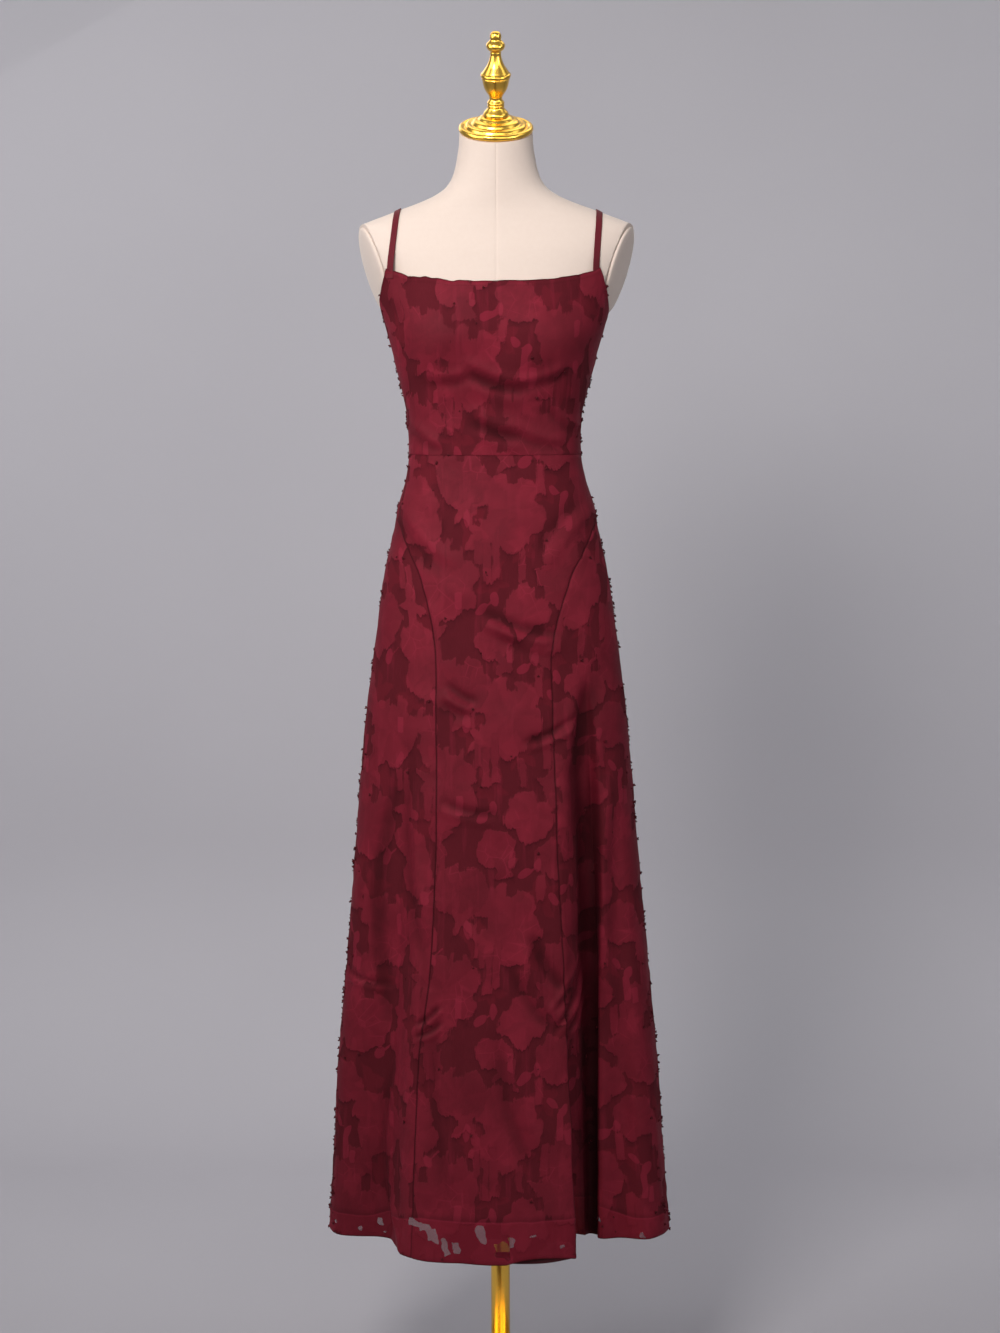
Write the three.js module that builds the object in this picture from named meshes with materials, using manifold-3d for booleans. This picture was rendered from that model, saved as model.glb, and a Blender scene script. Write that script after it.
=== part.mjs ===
// A maxi dress with narrow shoulder straps, worn by a limbless dress form on a gold stand.
// Millimetres, +Z up. The front faces -Y, and the origin is the middle of the base's underside.

import * as THREE from "three";
import { mergeVertices } from "three/addons/utils/BufferGeometryUtils.js";
import Module from "manifold-3d";

const wasm = await Module();
wasm.setup();

// Sizes of the dress
const WAIST_Z = 1308;
const HEM_Z = 240;
const HEM_HALF_WIDTH = 234.6;
const LINING_HEM_Z = 295;
const SLIT_TOP_Z = 613;
const SEAM_TIP_Z = 1225;
const CLOTH = 1.2;
const LINING_CLOTH = 1;
const SEAM_GAP = 0.3;
const SLANTED_SEAM_GAP = 0.6;
const LINING_DEPTH_AT_WAIST = 1.5;
const LINING_DEPTH_BELOW_HIP = 5;

// The bodice's top edge: a soft scoop between the strap corners, then the armhole down to the side seam
const SCOOP_Z = 1532;
const CORNER_Z = 1552;
const CORNER_TURN = 0.6;
const UNDERARM_Z = 1490;
const BACK_TOP_Z = 1478;

// The bust, as one soft mound on each side of the front
const BUST = { x: 76, z: 1458, height: 12, wide: 46, tall: 50 };

// Straps: where their middle lies at the front edge, over the shoulder and at the back edge
const STRAP_WIDTH = 11;
const STRAP_THICKNESS = 1.4;
const STRAP_CLEARANCE = 0.6;
const STRAPS = [
  { name: "strap_left", frontX: -140, shoulderX: -131, backX: -106 },
  { name: "strap_right", frontX: 130, shoulderX: 137, backX: 102 },
];

// Sizes of the dress form and the stand
const TORSO_BOTTOM_Z = 1050;
const NECK_TILT = 23;
const CAP_RIM = { y: -4, z: 1741, radius: 50, halfThickness: 4 };
const ARM_CUT = { x: 161, z: 1553, lean: 17, turn: 16 };
const ARM_PLATE = { tall: 60, wide: 45, thickness: 9, edge: 2.5 };
const PART_GAP = 0.3;
const POLE_RADIUS = 13;
const FLANGE = { radius: 46, thickness: 6 };
const BASE_TOP = 74;

// The dress's outline by height: half width, depth of the front and back, how square its ring is,
// how much of the hem's folds has formed, and how far it sits to one side
const DRESS_ROWS = [
  { z: 240, half: 234.6, front: 134, back: 151, power: 2, fold: 1, shift: -1.5 },
  { z: 345, half: 227.2, front: 130, back: 148, power: 2, fold: 0.88, shift: -2 },
  { z: 485, half: 217, front: 125, back: 143, power: 2.05, fold: 0.71, shift: -2.5 },
  { z: 624, half: 204, front: 119, back: 137, power: 2.1, fold: 0.53, shift: -2.4 },
  { z: 762, half: 191.9, front: 114, back: 131, power: 2.1, fold: 0.34, shift: -3 },
  { z: 899, half: 180.5, front: 109, back: 125, power: 2.15, fold: 0.17, shift: -3 },
  { z: 1001, half: 170, front: 104, back: 120, power: 2.2, fold: 0.07, shift: -2.4 },
  { z: 1070, half: 161.6, front: 101, back: 117, power: 2.2, fold: 0.02, shift: -2 },
  { z: 1137, half: 152.6, front: 97, back: 113, power: 2.2, fold: 0, shift: -2.2 },
  { z: 1205, half: 138.2, front: 91, back: 103, power: 2.2, fold: 0, shift: -2 },
  { z: 1239, half: 131.4, front: 88, back: 95, power: 2.2, fold: 0, shift: -1.6 },
  { z: 1272, half: 121.2, front: 84, back: 84, power: 2.2, fold: 0, shift: -2 },
  { z: 1308, half: 115.7, front: 81, back: 76, power: 2.2, fold: 0, shift: -3 },
  { z: 1353, half: 117, front: 84, back: 79, power: 2.2, fold: 0, shift: -3.6 },
  { z: 1393, half: 125, front: 90, back: 84, power: 2.2, fold: 0, shift: -2.8 },
  { z: 1434, half: 135, front: 98, back: 90, power: 2.25, fold: 0, shift: -2.2 },
  { z: 1474, half: 145.5, front: 102, back: 96, power: 2.3, fold: 0, shift: -2 },
  { z: 1490, half: 150, front: 101, back: 98, power: 2.3, fold: 0, shift: -2 },
  { z: 1514, half: 157, front: 98, back: 99, power: 2.3, fold: 0, shift: -3.5 },
  { z: 1552, half: 171, front: 90, back: 99, power: 2.3, fold: 0, shift: -5 },
];

// The hem from above, by turn: -1 and 1 are the side seams and 0 the middle
const HEM_FRONT = [
  { at: "left side", turn: -1, x: -236, y: 12 },
  { at: "left flank", turn: -0.88, x: -226, y: -6 },
  { at: "left ridge", turn: -0.78, x: -212, y: -17 },
  { at: "left hollow", turn: -0.66, x: -189, y: -23 },
  { at: "left valley", turn: -0.56, x: -166, y: -27 },
  { at: "left valley end", turn: -0.47, x: -150, y: -36 },
  { at: "left crest", turn: -0.41, x: -143, y: -64 },
  { at: "left turn", turn: -0.35, x: -134, y: -94 },
  { at: "left seam", turn: -0.31, x: -118, y: -111 },
  { at: "left of middle", turn: -0.16, x: -64, y: -128 },
  { at: "middle", turn: -0.02, x: -10, y: -134 },
  { at: "right of middle", turn: 0.1, x: 40, y: -131 },
  { at: "near the corner", turn: 0.2, x: 80, y: -124 },
  { at: "slit corner", turn: 0.27, x: 104.5, y: -116 },
  { at: "valley edge", turn: 0.33, x: 113, y: -92 },
  { at: "valley wall", turn: 0.4, x: 118, y: -50 },
  { at: "right valley", turn: 0.47, x: 125, y: -17 },
  { at: "right crest", turn: 0.55, x: 144, y: -29 },
  { at: "right hollow", turn: 0.64, x: 171, y: -33 },
  { at: "right ridge", turn: 0.74, x: 199, y: -42 },
  { at: "right flank", turn: 0.88, x: 223, y: -26 },
  { at: "right side", turn: 1, x: 236, y: 4 },
];
const HEM_BACK = [
  { at: "left side", turn: -1, x: -236, y: 12 },
  { at: "left ridge", turn: -0.85, x: -226, y: 58 },
  { at: "left valley", turn: -0.69, x: -188, y: 68 },
  { at: "second ridge", turn: -0.54, x: -156, y: 116 },
  { at: "second valley", turn: -0.39, x: -110, y: 112 },
  { at: "third ridge", turn: -0.23, x: -68, y: 149 },
  { at: "middle valley", turn: -0.08, x: -22, y: 136 },
  { at: "fourth ridge", turn: 0.09, x: 28, y: 154 },
  { at: "fourth valley", turn: 0.25, x: 72, y: 129 },
  { at: "fifth ridge", turn: 0.41, x: 116, y: 134 },
  { at: "right valley", turn: 0.57, x: 152, y: 90 },
  { at: "sixth ridge", turn: 0.73, x: 196, y: 92 },
  { at: "right flank", turn: 0.88, x: 226, y: 46 },
  { at: "right side", turn: 1, x: 236, y: 4 },
];

// The open seam's free edge hangs back and inward at the hem, as far round as the right valley
const SLIT_BACK = 92;
const SLIT_INWARD = 8;
const VALLEY_TURN = 0.47;

// The front seams by height, from the side seams at the hip to the hem, as turns
const FRONT_SEAMS = [
  { z: 240, left: -0.31, right: 0.27 },
  { z: 388, left: -0.308, right: 0.27 },
  { z: 503, left: -0.305, right: 0.269 },
  { z: 613, left: -0.275, right: 0.267 },
  { z: 700, left: -0.264, right: 0.264 },
  { z: 835, left: -0.262, right: 0.26 },
  { z: 950, left: -0.276, right: 0.26 },
  { z: 1036, left: -0.295, right: 0.264 },
  { z: 1087, left: -0.335, right: 0.311 },
  { z: 1120, left: -0.385, right: 0.37 },
  { z: 1153, left: -0.46, right: 0.455 },
  { z: 1179, left: -0.58, right: 0.58 },
  { z: 1209, left: -0.78, right: 0.78 },
  { z: 1225, left: -1, right: 1 },
];

// The dress form by height, before its arms and neck are cut flat
const TORSO_ROWS = [
  { z: 1050, half: 147, front: 84, back: 100, power: 2.2 },
  { z: 1108, half: 147, front: 88, back: 106, power: 2.2 },
  { z: 1170, half: 133, front: 84, back: 99, power: 2.15 },
  { z: 1225, half: 120, front: 80, back: 89, power: 2.15 },
  { z: 1270, half: 113, front: 77, back: 79, power: 2.2 },
  { z: 1308, half: 108, front: 75, back: 70, power: 2.2 },
  { z: 1353, half: 110, front: 79, back: 74, power: 2.2 },
  { z: 1393, half: 119, front: 85, back: 79, power: 2.2 },
  { z: 1434, half: 129, front: 93, back: 85, power: 2.25 },
  { z: 1474, half: 140, front: 97, back: 91, power: 2.3 },
  { z: 1490, half: 144, front: 95, back: 93, power: 2.3 },
  { z: 1514, half: 154, front: 90, back: 94, power: 2.3 },
  { z: 1552, half: 172, front: 78, back: 94, power: 2.3 },
  { z: 1580, half: 188, front: 68, back: 90, power: 2.3 },
  { z: 1598, half: 193, front: 59, back: 83, power: 2.3 },
  { z: 1610, half: 188, front: 54, back: 77, power: 2.2 },
  { z: 1618, half: 170, front: 51, back: 73, power: 2.2 },
  { z: 1626, half: 149, front: 49, back: 69, power: 2.1 },
  { z: 1635, half: 125, front: 47.5, back: 65, power: 2 },
  { z: 1643, half: 103, front: 47, back: 61, power: 2 },
  { z: 1652, half: 83, front: 47, back: 57, power: 2 },
  { z: 1664, half: 66.5, front: 47, back: 52, power: 2 },
  { z: 1681, half: 57, front: 47, back: 48, power: 2 },
  { z: 1703, half: 52, front: 47.5, back: 45, power: 2 },
  { z: 1724, half: 49.3, front: 48, back: 43, power: 2 },
  { z: 1775, half: 48.5, front: 49, back: 42, power: 2 },
];

// The finial along its own axis, from the cap's top to the tip
const FINIAL_PROFILE = [
  { part: "foot", radius: 16.8, height: 0 },
  { part: "foot", radius: 16.2, height: 3.5 },
  { part: "foot top", radius: 12, height: 9.5 },
  { part: "lower ring", radius: 11, height: 12 },
  { part: "lower ring", radius: 11.4, height: 15 },
  { part: "upper ring", radius: 11, height: 18.5 },
  { part: "waist", radius: 8.6, height: 24 },
  { part: "waist", radius: 9.3, height: 27 },
  { part: "bowl", radius: 13.6, height: 34 },
  { part: "bowl", radius: 16.6, height: 42.5 },
  { part: "bowl", radius: 18.2, height: 49.5 },
  { part: "shoulder", radius: 20, height: 55.5 },
  { part: "spire", radius: 14.6, height: 63.5 },
  { part: "spire", radius: 10.8, height: 69 },
  { part: "spire", radius: 7.5, height: 78.5 },
  { part: "neck", radius: 7.2, height: 86 },
  { part: "bead", radius: 11, height: 91 },
  { part: "bead", radius: 12.6, height: 94.5 },
  { part: "bead", radius: 10.5, height: 98.5 },
  { part: "top neck", radius: 7.2, height: 101.5 },
  { part: "tip", radius: 7.4, height: 107 },
  { part: "tip", radius: 5, height: 112 },
];
const FINIAL_TOP = 113.5;

const CAP_PROFILE = [
  { part: "rim underside", radius: 46, height: 0 },
  { part: "rim", radius: 49, height: 1.4 },
  { part: "rim", radius: 50, height: 4 },
  { part: "rim", radius: 49, height: 6.6 },
  { part: "rim top", radius: 46, height: 8 },
  { part: "groove", radius: 42.5, height: 7.6 },
  { part: "dish", radius: 38, height: 10 },
  { part: "dish", radius: 32.5, height: 12.6 },
  { part: "groove", radius: 29.5, height: 12.8 },
  { part: "step", radius: 28, height: 15.4 },
  { part: "step", radius: 24.5, height: 17.4 },
  { part: "step top", radius: 19, height: 20.4 },
];
const CAP_TOP = 21;

const BASE_PROFILE = [
  { part: "underside", radius: 163, height: 0 },
  { part: "rim", radius: 165, height: 2 },
  { part: "rim", radius: 165, height: 8 },
  { part: "rim", radius: 162, height: 11 },
  { part: "dish", radius: 140, height: 14.5 },
  { part: "step", radius: 96, height: 19 },
  { part: "step", radius: 92, height: 23 },
  { part: "dome", radius: 60, height: 29 },
  { part: "dome", radius: 36, height: 37 },
  { part: "collar foot", radius: 25, height: 48 },
  { part: "collar", radius: 21, height: 54 },
  { part: "collar", radius: 21, height: 71 },
  { part: "collar top", radius: 18.5, height: 74 },
];

const dressCloth = new THREE.MeshStandardMaterial({ color: 0x6b1424, roughness: 0.62, metalness: 0 });
const liningCloth = new THREE.MeshStandardMaterial({ color: 0x3c0a14, roughness: 0.7, metalness: 0 });
const formCloth = new THREE.MeshStandardMaterial({ color: 0xe6d6c0, roughness: 0.85, metalness: 0 });
const goldMetal = new THREE.MeshStandardMaterial({ color: 0xc89a2b, roughness: 0.15, metalness: 1 });

const object = new THREE.Group();

function addPiece(name, geometry, material) {
  const mesh = new THREE.Mesh(geometry, material);
  mesh.name = name;
  object.add(mesh);
  return mesh;
}

function clamp01(value) {
  return Math.min(1, Math.max(0, value));
}

function mix(a, b, share) {
  return a + (b - a) * share;
}

// Reads one column of a table at a place between its rows, on a smooth curve that never overshoots them
function readTable(rows, key, column, place) {
  const last = rows.length - 1;
  if (place <= rows[0][key]) {
    return rows[0][column];
  }
  if (place >= rows[last][key]) {
    return rows[last][column];
  }
  let i = 0;
  while (rows[i + 1][key] < place) {
    i += 1;
  }
  const slope = (k) => (rows[k + 1][column] - rows[k][column]) / (rows[k + 1][key] - rows[k][key]);
  const tangent = (k) => {
    if (k === 0) {
      return slope(0);
    }
    if (k === last) {
      return slope(last - 1);
    }
    const before = slope(k - 1);
    const after = slope(k);
    return before * after <= 0 ? 0 : (2 * before * after) / (before + after);
  };
  const step = rows[i + 1][key] - rows[i][key];
  const s = (place - rows[i][key]) / step;
  const ease = s * s * (3 - 2 * s);
  const start = s * (1 - s) * (1 - s) * step * tangent(i);
  const end = s * s * (1 - s) * step * tangent(i + 1);
  return mix(rows[i][column], rows[i + 1][column], ease) + start - end;
}

function readRow(rows, z, columns) {
  const row = {};
  for (const column of columns) {
    row[column] = readTable(rows, "z", column, z);
  }
  return row;
}

function bustMound(x, z) {
  const across = (Math.abs(x) - BUST.x) / BUST.wide;
  const up = (z - BUST.z) / BUST.tall;
  return BUST.height * Math.exp(-across * across - up * up);
}

// A point of a rounded ring: turn runs from -1 at the left side to 1 at the right side
function ringPoint(row, side, turn, z) {
  const angle = (turn * Math.PI) / 2;
  const sine = Math.sin(angle);
  const x = row.half * Math.sign(sine) * Math.abs(sine) ** (2 / row.power);
  const depth = Math.abs(Math.cos(angle)) ** (2 / row.power);
  if (side === "back") {
    return { x, y: row.back * depth };
  }
  return { x, y: -row.front * depth - bustMound(x, z) };
}

// A point of the dress's outer face
function dressPoint(side, turn, z, slitOpen = false) {
  const row = readRow(DRESS_ROWS, z, ["half", "front", "back", "power", "fold", "shift"]);
  const ring = ringPoint(row, side, turn, z);
  const hem = side === "front" ? HEM_FRONT : HEM_BACK;
  const hemX = (readTable(hem, "turn", "x", turn) * row.half) / HEM_HALF_WIDTH;
  const hemY = readTable(hem, "turn", "y", turn);
  const point = { x: mix(ring.x, hemX, row.fold) + row.shift, y: mix(ring.y, hemY, row.fold) };
  if (slitOpen) {
    const seam = readTable(FRONT_SEAMS, "z", "right", z);
    const along = clamp01((turn - seam) / (VALLEY_TURN - seam));
    const fade = 1 - along * along * (3 - 2 * along);
    const drop = clamp01((SLIT_TOP_Z - z) / (SLIT_TOP_Z - HEM_Z));
    point.x -= SLIT_INWARD * drop * fade;
    point.y += SLIT_BACK * drop * fade;
  }
  return point;
}

// The same point moved inward, square to the cloth as seen from above
function insetPoint(side, turn, z, inset, slitOpen) {
  const here = dressPoint(side, turn, z, slitOpen);
  const before = dressPoint(side, Math.max(-1, turn - 0.004), z, slitOpen);
  const after = dressPoint(side, Math.min(1, turn + 0.004), z, slitOpen);
  const way = side === "front" ? 1 : -1;
  const inward = new THREE.Vector3(way * (before.y - after.y), way * (after.x - before.x), 0).normalize();
  const nearSide = clamp01((Math.abs(turn) - 0.9) / 0.08);
  inward.lerp(new THREE.Vector3(-Math.sign(turn), 0, 0), nearSide).normalize();
  return new THREE.Vector3(here.x, here.y, z).addScaledVector(inward, inset);
}

// How much turn a distance along the cloth takes
function turnFor(distance, side, turn, z) {
  const before = dressPoint(side, Math.max(-1, turn - 0.01), z);
  const after = dressPoint(side, Math.min(1, turn + 0.01), z);
  const span = Math.min(1, turn + 0.01) - Math.max(-1, turn - 0.01);
  return (distance * span) / Math.hypot(after.x - before.x, after.y - before.y);
}

function spread(from, to, count) {
  return Array.from({ length: count + 1 }, (_, i) => mix(from, to, i / count));
}

function signedVolume(positions, index) {
  let six = 0;
  const a = new THREE.Vector3();
  const b = new THREE.Vector3();
  const c = new THREE.Vector3();
  for (let i = 0; i < index.length; i += 3) {
    a.fromArray(positions, index[i] * 3);
    b.fromArray(positions, index[i + 1] * 3);
    c.fromArray(positions, index[i + 2] * 3);
    six += a.dot(b.cross(c));
  }
  return six / 6;
}

function makeGeometry(positions, index) {
  if (signedVolume(positions, index) < 0) {
    index.reverse();
  }
  const geometry = new THREE.BufferGeometry();
  geometry.setAttribute("position", new THREE.Float32BufferAttribute(positions, 3));
  geometry.setIndex(index);
  return geometry;
}

// A closed wall between an outer and an inner sheet of points with the same rows and columns
function closedWall(outer, inner) {
  const rows = outer.length;
  const columns = outer[0].length;
  const positions = [];
  for (const sheet of [outer, inner]) {
    for (const row of sheet) {
      for (const point of row) {
        positions.push(point.x, point.y, point.z);
      }
    }
  }
  const out = (r, c) => r * columns + c;
  const back = (r, c) => rows * columns + r * columns + c;
  const index = [];
  const quad = (a, b, c, d) => index.push(a, b, c, a, c, d);
  for (let r = 0; r < rows - 1; r += 1) {
    for (let c = 0; c < columns - 1; c += 1) {
      quad(out(r, c), out(r, c + 1), out(r + 1, c + 1), out(r + 1, c));
      quad(back(r, c), back(r + 1, c), back(r + 1, c + 1), back(r, c + 1));
    }
    quad(out(r, 0), out(r + 1, 0), back(r + 1, 0), back(r, 0));
    quad(out(r, columns - 1), back(r, columns - 1), back(r + 1, columns - 1), out(r + 1, columns - 1));
  }
  for (let c = 0; c < columns - 1; c += 1) {
    quad(out(0, c), back(0, c), back(0, c + 1), out(0, c + 1));
    quad(out(rows - 1, c), out(rows - 1, c + 1), back(rows - 1, c + 1), back(rows - 1, c));
  }
  return makeGeometry(positions, index);
}

// A panel of the skirt between two edges, which are turns worked out for each height
function skirtPanel({ side, heights, columns, from, to, depth, thickness, slitOpen = false }) {
  const sheet = (extra) =>
    heights.map((z) =>
      spread(from(z), to(z), columns).map((turn) => insetPoint(side, turn, z, depth(z) + extra, slitOpen)),
    );
  return closedWall(sheet(0), sheet(thickness));
}

// A panel of the bodice between the waist and its top edge
function bodicePanel({ side, turns, rows, top }) {
  const bottom = WAIST_Z + SEAM_GAP / 2;
  const sheet = (depth) =>
    spread(0, 1, rows).map((share) =>
      turns.map((turn) => insetPoint(side, turn, mix(bottom, top(turn), share), depth)),
    );
  return closedWall(sheet(0), sheet(CLOTH));
}

function frontTop(turn) {
  const out = Math.abs(turn);
  if (out <= CORNER_TURN) {
    return mix(SCOOP_Z, CORNER_Z, (out / CORNER_TURN) ** 2.4);
  }
  return mix(CORNER_Z, UNDERARM_Z, ((out - CORNER_TURN) / (1 - CORNER_TURN)) ** 0.85);
}

function backTop(turn) {
  return mix(BACK_TOP_Z, UNDERARM_Z, turn * turn);
}

function addBodice() {
  const edge = 1 - turnFor(SEAM_GAP / 2, "front", 1, WAIST_Z);
  const middle = turnFor(SEAM_GAP / 2, "back", 0, WAIST_Z);
  const frontTurns = [
    ...spread(-edge, -CORNER_TURN, 5),
    ...spread(-CORNER_TURN, CORNER_TURN, 14).slice(1),
    ...spread(CORNER_TURN, edge, 5).slice(1),
  ];
  addPiece(
    "bodice_front",
    bodicePanel({ side: "front", turns: frontTurns, rows: 8, top: frontTop }),
    dressCloth,
  );
  addPiece(
    "bodice_back_left",
    bodicePanel({ side: "back", turns: spread(-edge, -middle, 9), rows: 6, top: backTop }),
    dressCloth,
  );
  addPiece(
    "bodice_back_right",
    bodicePanel({ side: "back", turns: spread(middle, edge, 9), rows: 6, top: backTop }),
    dressCloth,
  );
}

function seamTurn(which, z) {
  return readTable(FRONT_SEAMS, "z", which, z);
}

// Edges of the skirt's panels, each with its share of the gap in the seam
const skirtEdges = {
  sideLeft: (side) => (z) => -1 + turnFor(SEAM_GAP / 2, side, -1, z),
  sideRight: (side) => (z) => 1 - turnFor(SEAM_GAP / 2, side, 1, z),
  seam: (which, way, gap) => (z) => {
    const turn = seamTurn(which, z);
    const moved = turn + way * turnFor(gap / 2, "front", turn, z);
    const sideShare = turnFor(SEAM_GAP / 2, "front", 1, z);
    return Math.min(1 - sideShare, Math.max(-1 + sideShare, moved));
  },
  middle: (way) => (z) => way * turnFor(SEAM_GAP / 2, "back", 0, z),
};

const BACK_HEIGHTS = [
  WAIST_Z - SEAM_GAP / 2, 1272, 1244, SEAM_TIP_Z, 1200, 1168, 1130, 1080, 1020,
  920, 820, 715, SLIT_TOP_Z, 500, 395, 310, HEM_Z,
];
const TIP_ROW_Z = SEAM_TIP_Z - 1;
const FRONT_HEIGHTS = BACK_HEIGHTS.flatMap((z) => (z === SEAM_TIP_Z ? [z, TIP_ROW_Z] : [z]));
const SIDE_HEIGHTS = FRONT_HEIGHTS.filter((z) => z < SEAM_TIP_Z);

function addSkirt() {
  const onSurface = () => 0;
  const panels = [
    {
      name: "skirt_front_centre",
      side: "front",
      heights: FRONT_HEIGHTS,
      columns: 18,
      from: skirtEdges.seam("left", 1, SLANTED_SEAM_GAP),
      to: skirtEdges.seam("right", -1, SLANTED_SEAM_GAP),
    },
    {
      name: "skirt_front_left",
      side: "front",
      heights: SIDE_HEIGHTS,
      columns: 12,
      from: skirtEdges.sideLeft("front"),
      to: skirtEdges.seam("left", -1, SLANTED_SEAM_GAP),
    },
    {
      name: "skirt_front_right",
      side: "front",
      heights: SIDE_HEIGHTS,
      columns: 16,
      from: skirtEdges.seam("right", 1, SLANTED_SEAM_GAP),
      to: skirtEdges.sideRight("front"),
      slitOpen: true,
    },
    {
      name: "skirt_back_left",
      side: "back",
      heights: BACK_HEIGHTS,
      columns: 18,
      from: skirtEdges.sideLeft("back"),
      to: skirtEdges.middle(-1),
    },
    {
      name: "skirt_back_right",
      side: "back",
      heights: BACK_HEIGHTS,
      columns: 18,
      from: skirtEdges.middle(1),
      to: skirtEdges.sideRight("back"),
    },
  ];
  for (const { name, ...shape } of panels) {
    addPiece(name, skirtPanel({ ...shape, depth: onSurface, thickness: CLOTH }), dressCloth);
  }
}

const LINING_HEIGHTS = [
  1300, 1272, 1244, SEAM_TIP_Z, 1200, 1168, 1130, 1080, 1020, 900, 765, SLIT_TOP_Z, 450, LINING_HEM_Z,
];
const LINING_SIDE_HEIGHTS = LINING_HEIGHTS.filter((z) => z <= 1200);
const LINING_SEAM_GAP = 2.4;
const LINING_EASE_HEIGHT = 130;

function liningDepth(z) {
  const below = clamp01((WAIST_Z - z) / LINING_EASE_HEIGHT);
  return mix(LINING_DEPTH_AT_WAIST, LINING_DEPTH_BELOW_HIP, below);
}

// The skirt's lining, which follows the same folds a little way in and ends above the hem
function addLining() {
  const panels = [
    {
      name: "lining_front_centre",
      side: "front",
      heights: LINING_HEIGHTS,
      columns: 12,
      from: skirtEdges.seam("left", 1, LINING_SEAM_GAP),
      to: skirtEdges.seam("right", -1, LINING_SEAM_GAP),
    },
    {
      name: "lining_front_left",
      side: "front",
      heights: LINING_SIDE_HEIGHTS,
      columns: 12,
      from: skirtEdges.sideLeft("front"),
      to: skirtEdges.seam("left", -1, LINING_SEAM_GAP),
    },
    {
      name: "lining_front_right",
      side: "front",
      heights: LINING_SIDE_HEIGHTS,
      columns: 16,
      from: skirtEdges.seam("right", 1, LINING_SEAM_GAP),
      to: skirtEdges.sideRight("front"),
      slitOpen: true,
    },
    {
      name: "lining_back",
      side: "back",
      heights: LINING_HEIGHTS,
      columns: 28,
      from: skirtEdges.sideLeft("back"),
      to: skirtEdges.sideRight("back"),
    },
  ];
  for (const { name, ...shape } of panels) {
    addPiece(name, skirtPanel({ ...shape, depth: liningDepth, thickness: LINING_CLOTH }), liningCloth);
  }
}

function torsoRow(z) {
  return readRow(TORSO_ROWS, z, ["half", "front", "back", "power"]);
}

// The depth of the form's surface at a given x and height, or null above its shoulder
function torsoDepth(side, x, z) {
  const row = torsoRow(z);
  const across = Math.abs(x) / row.half;
  if (across >= 1) {
    return null;
  }
  const share = (1 - across ** row.power) ** (1 / row.power);
  return side === "front" ? -row.front * share - bustMound(x, z) : row.back * share;
}

function toManifold(geometry) {
  const bare = geometry.clone();
  bare.deleteAttribute("normal");
  bare.deleteAttribute("uv");
  const merged = mergeVertices(bare, 1e-4);
  const mesh = new wasm.Mesh({
    numProp: 3,
    vertProperties: Float32Array.from(merged.attributes.position.array),
    triVerts: Uint32Array.from(merged.index.array),
  });
  return new wasm.Manifold(mesh);
}

function fromManifold(solid) {
  const mesh = solid.getMesh();
  const geometry = new THREE.BufferGeometry();
  geometry.setAttribute("position", new THREE.Float32BufferAttribute(Array.from(mesh.vertProperties), 3));
  geometry.setIndex(Array.from(mesh.triVerts));
  return geometry;
}

// A closed body through horizontal rings, with its ends filled flat
function ringedBody(heights, half, pointAt) {
  const positions = [];
  const index = [];
  const around = half * 4;
  for (const z of heights) {
    for (let k = 0; k < around; k += 1) {
      const side = k < half * 2 ? "front" : "back";
      const turn = side === "front" ? -1 + k / half : 1 - (k - half * 2) / half;
      const point = pointAt(side, turn, z);
      positions.push(point.x, point.y, z);
    }
  }
  for (let r = 0; r < heights.length - 1; r += 1) {
    for (let k = 0; k < around; k += 1) {
      const next = (k + 1) % around;
      const low = r * around;
      const high = low + around;
      index.push(low + k, low + next, high + next, low + k, high + next, high + k);
    }
  }
  const last = (heights.length - 1) * around;
  const bottom = positions.length / 3;
  positions.push(0, 0, heights[0], 0, 0, heights[heights.length - 1]);
  for (let k = 0; k < around; k += 1) {
    const next = (k + 1) % around;
    index.push(bottom, next, k, bottom + 1, last + k, last + next);
  }
  return makeGeometry(positions, index);
}

const NECK_PLANE = new THREE.Object3D();
NECK_PLANE.position.set(0, CAP_RIM.y, CAP_RIM.z);
NECK_PLANE.rotation.set(THREE.MathUtils.degToRad(NECK_TILT), 0, 0);
NECK_PLANE.updateMatrix();

// The flat face of one arm: its own +Z points out of the form
function armPlane(way) {
  const plane = new THREE.Object3D();
  plane.position.set(way * ARM_CUT.x, 0, ARM_CUT.z);
  const lean = THREE.MathUtils.degToRad(ARM_CUT.lean);
  const turn = THREE.MathUtils.degToRad(ARM_CUT.turn);
  const out = new THREE.Vector3(
    way * Math.cos(lean) * Math.cos(turn),
    -Math.cos(lean) * Math.sin(turn),
    -Math.sin(lean),
  );
  const up = new THREE.Vector3(0, 0, 1).addScaledVector(out, -out.z).normalize();
  const across = new THREE.Vector3().crossVectors(up, out);
  plane.matrix.makeBasis(across, up, out).setPosition(plane.position);
  return plane;
}

function addTorso() {
  const heights = TORSO_ROWS.map((row) => row.z);
  const body = ringedBody(heights, 10, (side, turn, z) => ringPoint(torsoRow(z), side, turn, z));
  let solid = toManifold(body);
  const cutHeight = 200;
  const neckCut = new THREE.BoxGeometry(300, 300, cutHeight);
  neckCut.translate(0, 0, cutHeight / 2 - CAP_RIM.halfThickness - PART_GAP);
  neckCut.applyMatrix4(NECK_PLANE.matrix);
  solid = solid.subtract(toManifold(neckCut));
  for (const way of [-1, 1]) {
    const armCut = new THREE.BoxGeometry(400, 400, cutHeight);
    armCut.translate(0, 0, cutHeight / 2);
    armCut.applyMatrix4(armPlane(way).matrix);
    solid = solid.subtract(toManifold(armCut));
  }
  addPiece("torso", fromManifold(solid), formCloth);
}

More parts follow.
